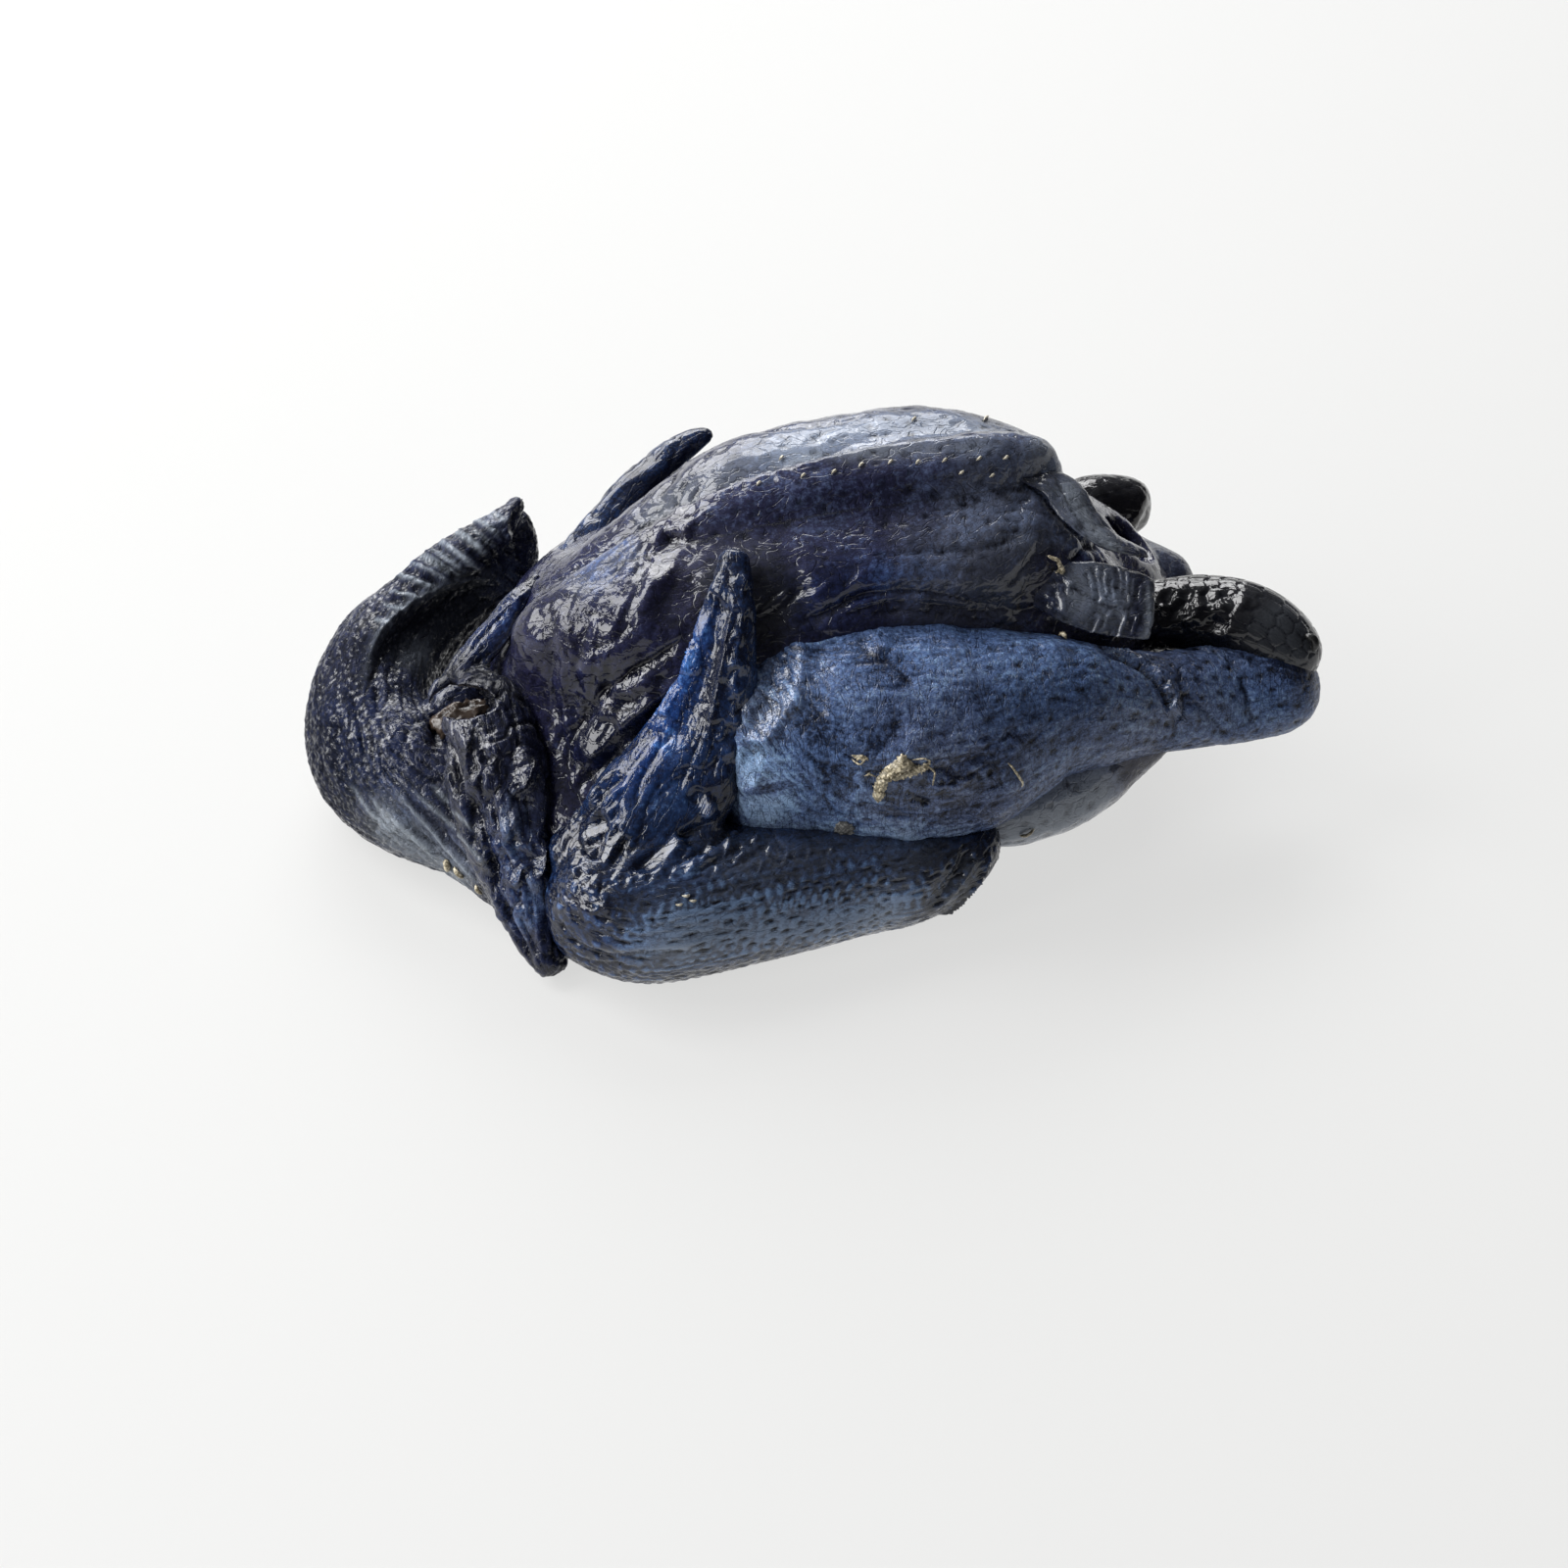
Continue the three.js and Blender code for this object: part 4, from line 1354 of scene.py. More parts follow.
# ---------------------------------------------------------------- folds and tints
# Folds are (kind, half width, depth, path), tints (paint, half width, amount, path), crinkles
# (half width, amount, path) and flow (half width, path): millimetres, and paths in picture points.
TORSO_FOLDS = [
    # the keel's crest and the dip beside it
    ("crest", 1.5, 1.0, [(600, 562), (640, 541), (700, 518), (760, 494), (820, 476), (880, 461),
                         (940, 452), (1000, 447), (1045, 450)]),
    ("groove", 3.5, 0.8, [(840, 484), (880, 473), (940, 464), (1000, 459), (1045, 464)]),
    # hollow behind the wing
    ("groove", 8.0, 2.6, [(758, 660), (785, 622), (835, 598)]),
    # folds where the breast meets the thigh
    ("crease", 2.2, 2.4, [(800, 640), (830, 632), (852, 622), (875, 610), (900, 606), (940, 604),
                          (980, 612), (1010, 620), (1035, 626)]),
    ("ridge", 1.5, 0.8, [(850, 628), (880, 616), (915, 609), (960, 612), (1000, 620)]),
    ("crease", 1.5, 1.6, [(850, 636), (880, 622), (915, 614), (960, 618), (1000, 626), (1030, 632)]),
    ("crease", 1.4, 1.2, [(870, 634), (910, 624), (950, 626), (990, 632), (1030, 640)]),
    ("crease", 1.6, 0.9, [(955, 598), (985, 607), (1015, 611), (1045, 604)]),
    ("crease", 1.4, 0.7, [(900, 567), (950, 563), (1000, 560), (1030, 552), (1052, 547)]),
    ("crease", 1.2, 0.8, [(1003, 501), (1028, 500), (1052, 495)]),
    ("crease", 1.2, 0.7, [(1008, 522), (1033, 521), (1045, 508), (1058, 508)]),
    ("crease", 1.1, 0.5, [(1000, 534), (1022, 530), (1045, 533)]),
    ("crease", 1.1, 0.5, [(1012, 545), (1036, 541), (1058, 548)]),
    # loose rim of the belly
    ("crease", 1.3, 1.3, [(1040, 487), (1052, 492), (1064, 503), (1084, 528), (1105, 550), (1124, 562)]),
    ("ridge", 3.0, 1.6, [(1070, 470), (1082, 490), (1093, 515), (1112, 540), (1135, 560)]),
    ("crease", 1.6, 1.4, [(1128, 560), (1112, 556), (1100, 566), (1092, 578)]),
    # breast front, folds that gather beside the neck
    ("crease", 2.0, 2.4, [(712, 634), (689, 657), (665, 675), (642, 690), (620, 705), (598, 731),
                          (585, 751), (579, 792)]),
    ("crest", 0.9, 0.9, [(700, 640), (684, 656), (660, 673), (638, 688), (616, 702)]),
    ("ridge", 3.4, 1.8, [(680, 692), (655, 708), (625, 730), (600, 758), (588, 785)]),
    ("crease", 2.0, 2.2, [(692, 712), (672, 732), (654, 747), (615, 780), (580, 812)]),
    ("ridge", 2.0, 1.2, [(655, 752), (632, 764), (608, 780), (584, 800)]),
    ("crease", 1.3, 0.8, [(660, 585), (640, 622), (618, 660), (604, 700), (588, 752)]),
    ("crease", 1.2, 0.7, [(640, 572), (612, 610), (594, 655), (586, 705), (582, 770)]),
    ("crease", 1.1, 0.6, [(612, 580), (590, 620), (578, 670), (580, 720)]),
    ("ridge", 1.3, 0.7, [(650, 600), (628, 640), (610, 690), (594, 740)]),
    ("ridge", 1.2, 0.6, [(600, 590), (582, 640), (574, 690), (574, 740)]),
    ("crease", 1.2, 0.7, [(560, 640), (562, 690), (568, 740), (572, 790)]),
    ("ridge", 1.6, 0.6, [(700, 568), (680, 585), (664, 600), (654, 624), (648, 650)]),
    ("groove", 3.0, 0.7, [(720, 590), (690, 610), (672, 640)]),
    # crinkles beside the far wing
    ("crease", 1.2, 0.8, [(700, 470), (682, 492), (668, 515)]),
    ("crease", 1.1, 0.7, [(716, 474), (696, 500), (690, 520)]),
    ("crease", 1.1, 0.7, [(690, 466), (670, 488), (655, 512), (650, 530)]),
    ("crease", 1.0, 0.5, [(735, 468), (712, 500), (708, 516)]),
    ("crease", 1.5, 0.9, [(738, 447), (790, 438), (840, 434), (880, 424)]),
    ("crease", 1.3, 0.7, [(800, 436), (850, 430), (900, 420)]),
    ("crease", 1.3, 0.7, [(822, 458), (838, 444), (862, 434), (900, 428)]),
]
VENT_FOLDS = [
    ("crease", 0.9, 1.0, [(1062, 598), (1084, 592), (1100, 602), (1130, 618), (1170, 623)]),
    ("crest", 0.8, 0.6, [(1080, 588), (1098, 596), (1128, 612), (1168, 617)]),
    ("crease", 0.8, 0.7, [(1110, 578), (1126, 592), (1150, 604), (1170, 610)]),
    ("crease", 0.7, 0.6, [(1108, 590), (1120, 604), (1140, 614)]),
    ("crest", 0.8, 0.6, [(1172, 586), (1173, 610), (1173, 640), (1166, 655)]),
    ("crease", 1.0, 1.0, [(1062, 606), (1072, 624), (1092, 636), (1112, 644)]),
    ("crest", 0.9, 0.7, [(1066, 604), (1078, 618), (1096, 628)]),
    ("ridge", 1.2, 0.7, [(1085, 500), (1092, 520), (1104, 540)]),
    ("crease", 0.9, 0.7, [(1078, 480), (1086, 505), (1098, 528), (1116, 548)]),
    ("crease", 0.8, 0.6, [(1116, 548), (1130, 562), (1150, 570)]),
]
VENT_FLOW = [
    (7.0, [(1100, 575), (1100, 610), (1092, 640)]),
    (7.0, [(1140, 570), (1136, 610), (1124, 655)]),
    (7.0, [(1168, 575), (1166, 615), (1158, 655)]),
]
VENT_TINTS = [
    ("ash", 8.0, 0.22, [(1060, 486), (1090, 515), (1116, 545), (1150, 568)]),
    # the next two tints pale the rim's edge and the flap's right edge: pale skin, brightened further as
    # painted highlights along the edges
    ("ash", 2.2, 0.45, [(1088, 486), (1100, 515), (1120, 545), (1150, 568)]),
    ("ash", 1.2, 0.4, [(1172, 590), (1172, 640), (1160, 655)]),
    ("ash", 9.0, 0.32, [(1080, 600), (1160, 620)]),
    ("tone", 4.0, 0.15, [(1084, 480), (1096, 515), (1116, 545)]),
    ("tone", 2.5, 0.35, [(1110, 600), (1150, 610)]),
    ("wet", 5.0, 0.5, [(1110, 590), (1160, 640)]),
]
# Each flat is (window it mirrors, half width, how far it is pressed flat, path).
TORSO_FLATS = [
    ("back", 2.2, 1.0, [(702, 518), (694, 540)]),
    ("back", 2.6, 1.0, [(686, 556), (670, 590)]),
    ("front", 1.8, 0.8, [(688, 694), (672, 704)]),
    ("front", 2.6, 1.0, [(655, 714), (630, 732)]),
    ("front", 2.2, 1.0, [(622, 742), (604, 764)]),
    *(("corner", 1.1, 0.9, [(x - 5, y + 3), (x + 5, y - 3)]) for x, y in (
        (782, 620), (796, 606), (815, 610), (835, 600), (870, 592), (990, 600), (1040, 590), (1062, 628))),
]
LEG_FLATS = [
    ("corner", 3.8, 1.0, [(808, 668), (800, 690), (796, 712)]),
    ("corner", 3.0, 0.9, [(784, 728), (776, 750)]),
    ("left", 2.6, 0.6, [(770, 775), (764, 800)]),
    ("back", 1.6, 1.0, [(884, 650), (898, 662)]),
    *(("corner", width, 1.0, [(x, y), (x + run, y + drop)]) for x, y, run, drop, width in (
        (1134, 660, 8, 2, 0.8), (1150, 663, 12, 6, 0.9), (1174, 676, 9, 9, 0.9), (1190, 694, 5, 9, 0.8),
        (1198, 708, 2, 14, 1.0), (1204, 728, 2, 13, 0.9), (1224, 662, 10, 2, 0.7),
        (1240, 664, 8, 7, 0.8), (1256, 680, 7, 10, 0.7), (1212, 668, 4, 8, 0.7))),
]
WING_FLATS = [
    ("corner", 1.7, 1.0, [(612, 840), (600, 854)]),
    ("corner", 1.4, 1.0, [(630, 852), (619, 874)]),
    ("left", 1.1, 1.0, [(592, 872), (588, 880)]),
    ("front", 1.0, 1.0, [(588, 905), (596, 900)]),
    ("front", 1.9, 1.0, [(598, 920), (612, 922)]),
    ("corner", 1.8, 0.8, [(690, 862), (660, 880)]),
    ("left", 1.2, 0.8, [(722, 622), (713, 646)]),
    ("left", 1.2, 0.8, [(690, 700), (678, 724)]),
    ("front", 1.8, 0.9, [(712, 814), (724, 828)]),
    *(("corner", width, 0.9, [(x + lean, y - rise), (x, y), (x - lean, y + rise)])
      for x, y, lean, rise, width in (
          (722, 866, 4, 4, 0.7), (740, 863, 3, 6, 0.9), (752, 874, 6, 4, 0.6), (757, 862, 3, 3, 0.5),
          (783, 868, 2, 5, 0.6), (800, 876, 4, 4, 0.5), (704, 884, 6, 4, 0.8), (716, 878, 4, 3, 0.5),
          (728, 890, 3, 5, 0.7), (745, 850, 5, 3, 0.7), (768, 856, 4, 3, 0.6), (668, 892, 6, 4, 0.8),
          (686, 890, 4, 4, 0.6), (652, 896, 5, 3, 0.6), (640, 900, 3, 4, 0.7), (824, 872, 2, 3, 0.5),
          (846, 868, 3, 2, 0.5), (775, 884, 2, 4, 0.5), (700, 870, 5, 3, 0.6), (628, 892, 4, 3, 0.6))),
    *(("front", 0.9, 0.9, [(x + 1, y - 6), (x - 1, y + 6)]) for x, y in (
        (756, 598), (755, 630), (751, 660), (749, 690), (747, 722), (735, 745), (733, 640))),
]
NECK_FLATS = [
    ("front", 2.0, 0.8, [(534, 775), (524, 800)]),
    ("front", 1.7, 0.8, [(552, 868), (544, 892)]),
    ("front", 1.6, 0.9, [(520, 832), (514, 848)]),
    ("front", 1.6, 0.9, [(528, 884), (522, 898)]),
    ("front", 1.6, 0.9, [(486, 772), (482, 788)]),
]
VENT_FLATS = [("left", width, 1.0, [(x, top), (x + lean, (top + low) / 2), (x + lean, low)])
              for x, top, low, lean, width in (
                  (1111, 588, 600, 2, 0.7), (1119, 581, 611, 3, 0.9), (1127, 586, 603, 1, 0.8),
                  (1134, 597, 611, 2, 0.6), (1141, 580, 600, 3, 0.9), (1150, 586, 611, 0, 0.8),
                  (1157, 593, 604, -2, 0.6), (1164, 600, 612, -2, 0.7), (1121, 632, 648, -6, 0.8),
                  (1131, 629, 640, -5, 0.6), (1139, 640, 652, -6, 0.7), (1148, 631, 650, -7, 0.9),
                  (1160, 632, 645, -6, 0.7), (1092, 596, 606, -4, 0.8), (1078, 606, 620, 5, 1.0))]
SHANK_FLATS = [("corner", 2.0, 0.9, [(x, y), (x + 7, y + 5)]) for x, y in (
    (1176, 610), (1196, 610), (1216, 610), (1236, 609), (1256, 608), (1240, 640), (1206, 624))]
SHANK_TINTS = [("ash", 8.0, 0.15, [(1290, 612), (1322, 648), (1334, 690)])]
TORSO_CRINKLES = [
    (14.0, 0.9, [(640, 560), (600, 640), (590, 740)]),
    (9.0, 0.7, [(660, 680), (620, 740), (590, 790)]),
    (8.0, 0.5, [(700, 470), (670, 520), (640, 560)]),
    (7.0, 0.8, [(800, 640), (860, 615), (940, 605), (1030, 625)]),
    (8.0, 0.7, [(1040, 500), (1080, 530), (1110, 570)]),
    (9.0, 0.8, [(1050, 600), (1100, 620), (1150, 630)]),
    (9.0, -0.2, [(730, 475), (800, 450), (900, 430), (1040, 435)]),
    (7.0, 0.6, [(770, 620), (800, 590)]),
]
PUCKERS = [
    (6.0, 1.3, [(880, 795), (930, 815), (1000, 800)]), (4.5, 1.0, [(960, 780), (1010, 762), (1040, 750)]),
    (4.0, 0.8, [(860, 835), (930, 845), (1000, 835)]), (3.5, 0.9, [(890, 750), (925, 735), (950, 745)])]
KNEE_CRINKLES = [(9.0, 1.2, [(815, 660), (795, 700), (780, 740), (775, 790)])]
LEG_CRINKLES = [
    (8.0, 2.0, [(860, 800), (930, 820), (1000, 810)]),
    (6.0, 0.7, [(850, 850), (930, 855), (1000, 845)]),
    (7.0, 0.5, [(1150, 670), (1200, 700), (1210, 740)]),
    (8.0, 0.4, [(880, 650), (930, 690)]),
]
TORSO_TINTS = [
    ("tone", 9.0, 1.1, [(1000, 858), (1080, 830), (1150, 795)]),
    ("ash", 12.0, 0.9, [(1000, 862), (1080, 835), (1150, 795)]),
    ("ash", 16.0, 0.20, [(960, 480), (1040, 520), (1050, 570)]),
    ("ash", 12.0, 0.19, [(900, 580), (1000, 590), (1060, 600)]),
    ("ash", 12.0, 0.06, [(720, 620), (800, 560)]),
    ("grain", 7.0, 0.22, [(640, 570), (600, 605), (575, 650), (570, 700)]),
    ("grain", 5.0, 0.15, [(700, 545), (650, 560)]),
    ("ash", 6.0, 0.45, [(1045, 445), (1070, 462), (1088, 495), (1100, 530)]),
    ("tone", 20.0, 0.35, [(900, 500), (1040, 500), (1050, 560)]),
    ("tone", 12.0, 0.12, [(800, 520), (900, 540)]),
    ("wet", 6.0, -0.3, [(740, 470), (800, 450), (900, 432), (1040, 440)]),
    # painted sheen: the pale blue haze on the breast front beside the neck
    ("ash", 6.0, 0.18, [(585, 610), (620, 572), (660, 556)]),
    ("wet", 7.0, 0.4, [(690, 520), (670, 560), (650, 600)]),
    ("blue", 9.0, 0.7, [(640, 690), (620, 740), (600, 790)]),
    ("blue", 7.0, 0.7, [(790, 630), (880, 600), (980, 600)]),
    # painted sheen: the next two tints paint the same pale blue haze on the breast front
    ("tone", 8.0, 0.35, [(590, 600), (620, 570), (660, 552)]),
    ("blue", 8.0, 0.6, [(590, 605), (620, 575), (655, 556)]),
    ("wet", 7.0, -0.25, [(590, 605), (620, 575), (655, 556)]),
    # painted highlight: the next five tints pale the lit band along the keel and the near side under its
    # crest
    ("tone", 6.0, 0.60, [(740, 474), (850, 446), (940, 434), (1030, 432)]),
    ("ash", 6.5, 0.62, [(740, 474), (850, 444), (940, 434), (1050, 440)]),
    ("ash", 2.5, 0.35, [(790, 480), (850, 466), (940, 456), (1040, 452)]),
    ("ash", 6.0, 0.25, [(640, 545), (700, 505), (770, 470)]),
    ("tone", 5.0, 0.20, [(700, 540), (760, 512), (820, 492), (880, 478)]),
    ("tone", 5.0, 0.25, [(880, 588), (930, 584), (990, 578)]),
    # painted shade: the next tint darkens the hollow behind the wing
    ("tone", 9.0, -0.30, [(700, 620), (760, 620), (820, 600)]),
    ("tone", 9.0, -0.25, [(650, 690), (620, 740), (600, 780)]),
    ("tone", 6.0, 0.45, [(1066, 468), (1085, 500), (1110, 540)]),
    ("wet", 8.0, 0.35, [(650, 640), (620, 700), (600, 760)]),
    ("wet", 6.0, 0.45, [(1100, 580), (1130, 610), (1150, 640)]),
    ("wet", 9.0, -0.40, [(850, 520), (930, 520), (1010, 520)]),
    ("wet", 7.0, -0.25, [(900, 580), (980, 580)]),
]
TORSO_FLOW = [
    (14.0, [(700, 560), (640, 620), (600, 700), (580, 800)]),
    (10.0, [(650, 550), (600, 600), (575, 680), (572, 780)]),
    (10.0, [(790, 640), (850, 610), (930, 600), (1030, 620)]),
    (8.0, [(1080, 470), (1100, 520), (1150, 575)]),
    (8.0, [(1150, 575), (1145, 610), (1130, 650)]),
    (8.0, [(700, 460), (680, 490), (660, 530)]),
]
TAIL_FOLDS = [
    ("crease", 2.0, 1.6, [(1103, 512), (1116, 514), (1128, 524), (1132, 545)]),
    ("ridge", 1.5, 0.8, [(1134, 532), (1160, 550), (1184, 578)]),
]
LEG_FOLDS = [
    # fine lines over the knee
    *(("crease", 0.62, 0.55, [(x, y), (x + 10, y + 14), (x + 20, y + 34)]) for x, y in (
        (806, 650), (797, 653), (789, 657), (781, 662), (776, 670), (771, 680), (768, 691), (765, 703),
        (762, 715), (760, 727), (757, 740), (754, 752), (752, 765), (750, 778), (812, 664), (820, 652))),
    *(("crease", 0.62, 0.40, [(x, y), (x + 7, y + 13), (x + 11, y + 28)]) for x, y in (
        (806, 800), (818, 806), (829, 802), (841, 810), (852, 806), (864, 814), (800, 824), (824, 828))),
    ("crease", 1.5, 0.9, [(870, 652), (893, 668), (918, 684), (936, 706)]),
    ("ridge", 2.2, 0.7, [(880, 646), (900, 658), (925, 675)]),
    ("groove", 4.0, 0.7, [(850, 640), (835, 680), (840, 730)]),
    ("groove", 5.0, 0.6, [(800, 760), (820, 740), (850, 735)]),
    # puckered skin below the middle
    ("crease", 1.6, 1.0, [(950, 790), (990, 778), (1010, 772)]),
    ("crease", 1.6, 1.1, [(925, 812), (950, 826), (975, 832), (1000, 822)]),
    ("crease", 1.4, 0.9, [(900, 822), (930, 836), (960, 842), (995, 838)]),
    ("ridge", 2.0, 0.9, [(940, 800), (970, 800), (1000, 792)]),
    ("groove", 3.0, 0.4, [(890, 770), (910, 745), (930, 730)]),
    ("ridge", 3.0, 0.8, [(905, 790), (930, 760), (950, 745)]),
    ("crease", 1.3, 0.8, [(1020, 760), (1035, 745), (1050, 740)]),
    ("crease", 1.3, 0.6, [(850, 850), (900, 846), (950, 850), (1000, 846)]),
    ("crease", 1.2, 0.5, [(840, 838), (890, 832), (930, 838)]),
    # folds round the drumstick's narrow end
    ("crest", 1.2, 0.9, [(1112, 657), (1145, 664), (1168, 674), (1188, 690), (1200, 712), (1203, 734)]),
    ("crease", 1.8, 2.2, [(1120, 664), (1150, 672), (1172, 684), (1188, 704), (1196, 730)]),
    ("crease", 1.2, 0.8, [(1204, 676), (1206, 700), (1210, 730), (1212, 756)]),
    ("crease", 1.2, 0.8, [(1206, 704), (1226, 722), (1244, 742), (1252, 756)]),
    ("crease", 1.4, 1.2, [(1240, 660), (1258, 676), (1270, 700), (1276, 726), (1284, 750)]),
    ("crest", 1.0, 0.6, [(1218, 662), (1244, 662), (1260, 676)]),
    ("crease", 1.2, 0.7, [(1176, 734), (1196, 742), (1210, 752)]),
    ("ridge", 2.5, 0.8, [(1290, 670), (1310, 690), (1318, 712)]),
]
LEG_TINTS = [
    ("wet", 9.0, 0.8, [(815, 660), (795, 700), (780, 760)]),
    ("wet", 7.0, 0.35, [(860, 790), (930, 810), (1000, 800)]),
    ("tone", 8.0, 0.60, [(768, 750), (766, 810), (800, 842)]),
    # painted highlight: pale grey over the bright patch of the knee
    ("ash", 7.0, 0.2, [(778, 700), (786, 740)]),
    ("ash", 5.0, 0.2, [(768, 830), (800, 848), (860, 852)]),
    ("grain", 8.0, 0.15, [(800, 670), (780, 740), (770, 800)]),
    ("tone", 5.0, 0.35, [(800, 848), (870, 850), (950, 852), (1010, 840)]),
    ("tone", 4.5, -0.35, [(820, 730), (850, 735)]),
    ("tone", 4.0, -0.70, [(780, 800), (785, 812)]),
    ("tone", 3.5, -0.45, [(880, 665), (905, 680), (930, 700)]),
    ("tone", 2.2, -0.30, [(911, 743)]),
    ("tone", 2.0, -0.30, [(893, 759)]),
    ("wet", 5.0, 0.6, [(800, 680), (785, 720), (772, 770)]),
    ("wet", 3.0, 0.6, [(880, 648), (900, 660)]),
    ("wet", 5.0, 0.8, [(1120, 660), (1170, 676), (1200, 710), (1206, 740)]),
    ("wet", 6.0, 0.3, [(1240, 680), (1300, 680)]),
    ("tone", 7.0, 0.18, [(1220, 716), (1270, 720), (1330, 724)]),
    ("tone", 5.0, -0.5, [(1290, 668), (1320, 676), (1345, 690)]),
]
LEG_FLOW = [
    (9.0, [(775, 660), (800, 700), (826, 736)]),
    (9.0, [(755, 715), (782, 760), (806, 790)]),
    (9.0, [(750, 780), (776, 822), (800, 846)]),
    (9.0, [(820, 800), (860, 826), (900, 840)]),
    (8.0, [(1140, 662), (1190, 690), (1204, 740)]),
    (8.0, [(1230, 665), (1265, 700), (1280, 750)]),
]
WING_FOLDS = [
    # shoulder end of the folded wing
    ("crest", 1.4, 1.2, [(636, 780), (618, 795), (604, 812), (590, 829), (578, 848)]),
    ("crease", 1.4, 1.4, [(640, 790), (622, 804), (606, 822), (590, 842)]),
    ("crest", 1.3, 1.0, [(640, 800), (621, 814), (606, 829), (588, 849)]),
    ("crease", 1.5, 1.4, [(634, 822), (622, 840), (612, 862), (604, 880)]),
    ("ridge", 2.0, 1.4, [(634, 842), (627, 856), (617, 872)]),
    ("crease", 1.4, 1.2, [(640, 850), (632, 868), (620, 884)]),
    ("crease", 1.3, 0.9, [(600, 852), (590, 868), (584, 888)]),
    ("ridge", 1.6, 0.9, [(596, 860), (588, 880), (586, 900)]),
    ("ridge", 3.5, 0.9, [(590, 915), (612, 918)]),
    # folds under the thumb
    ("crease", 1.6, 1.8, [(728, 838), (706, 850), (680, 862), (655, 878), (640, 892)]),
    ("ridge", 1.5, 1.0, [(704, 858), (676, 864), (652, 880)]),
    ("crease", 1.4, 1.3, [(757, 836), (744, 852), (721, 864), (698, 878), (676, 892)]),
    ("ridge", 1.3, 0.8, [(750, 850), (738, 866), (712, 880), (690, 892)]),
    ("crease", 1.3, 1.0, [(765, 848), (752, 866), (728, 880), (704, 894)]),
    ("crease", 1.2, 0.7, [(790, 850), (770, 872), (740, 888)]),
    # ledges along the lower edge
    ("crease", 1.4, 1.2, [(566, 930), (576, 952), (592, 966), (620, 976), (660, 974), (700, 968)]),
    ("crease", 1.3, 0.9, [(566, 950), (584, 974), (610, 984), (640, 984)]),
    ("ridge", 1.6, 0.7, [(590, 958), (630, 967), (680, 964), (730, 958)]),
    # elbow end
    ("groove", 2.2, 1.4, [(990, 858), (982, 884), (964, 908), (944, 930)]),
    ("crest", 1.0, 1.6, [(1010, 866), (1006, 888), (990, 909), (972, 928), (958, 938)]),
    ("crest", 0.8, 0.7, [(998, 862), (992, 886), (976, 908), (952, 934)]),
    ("crest", 0.8, 0.6, [(984, 858), (976, 882), (960, 904), (938, 928)]),
    # the wing's hand: a bright front edge, a valley and a knuckled rear edge
    ("crest", 1.5, 1.3, [(738, 574), (728, 598), (718, 625), (708, 652), (698, 685), (682, 713),
                         (668, 733), (655, 752), (636, 790)]),
    ("groove", 2.6, 1.6, [(742, 600), (733, 630), (724, 665), (714, 700), (700, 735), (680, 775)]),
    ("crest", 1.1, 0.9, [(752, 585), (751, 608), (744, 630), (740, 652), (736, 678), (731, 704),
                         (726, 735), (716, 770)]),
    *(("ridge", width, height, [knuckle]) for width, height, knuckle in (
        (1.6, 1.0, (758, 592)), (1.6, 1.0, (757, 622)), (1.6, 1.0, (753, 650)), (1.7, 1.1, (752, 678)),
        (1.8, 1.1, (753, 706)), (1.9, 1.2, (750, 735)), (2.0, 1.2, (745, 765)), (2.0, 1.2, (738, 795)))),
    ("crease", 1.0, 0.7, [(690, 745), (672, 765), (655, 795), (645, 825)]),
    ("crease", 1.0, 0.6, [(712, 760), (700, 785), (690, 815)]),
    ("crease", 1.0, 0.6, [(700, 790), (680, 805), (655, 830)]),
]
WING_TINTS = [
    ("blue", 5.0, 0.8, [(728, 600), (700, 680), (670, 750), (620, 830)]),
    ("blue", 6.0, 0.2, [(590, 880), (600, 940), (700, 950)]),
    ("tone", 8.0, -0.15, [(620, 830), (590, 880), (590, 950)]),
    ("tone", 3.0, 0.40, [(728, 610), (712, 645), (700, 680), (680, 720), (668, 745)]),
    ("tone", 4.0, 0.40, [(690, 745), (670, 770)]),
    ("tone", 5.0, 0.30, [(650, 830), (690, 815), (705, 800)]),
    ("tone", 3.0, -0.40, [(738, 650), (728, 700), (715, 750)]),
    ("tone", 4.0, 0.15, [(600, 900), (590, 930)]),
    ("tone", 8.5, 1.15, [(620, 965), (740, 950), (850, 940), (950, 922)]),
    ("ash", 8.0, 0.55, [(620, 975), (740, 955), (850, 945), (950, 925)]),
    ("ash", 5.0, 0.15, [(1000, 870), (985, 900), (960, 930)]),
    ("ash", 8.0, 0.12, [(700, 890), (800, 880), (900, 875), (980, 880)]),
    ("wet", 7.0, 0.1, [(600, 850), (600, 900), (610, 930)]),
    ("wet", 7.0, -0.5, [(700, 950), (800, 935), (900, 930)]),
]
WING_FLOW = [
    (8.0, [(735, 580), (705, 680), (660, 770), (610, 860)]),
    (6.0, [(650, 780), (610, 820), (580, 870)]),
    (6.0, [(570, 860), (568, 920), (580, 970)]),
    (7.0, [(760, 845), (720, 870), (660, 900)]),
]
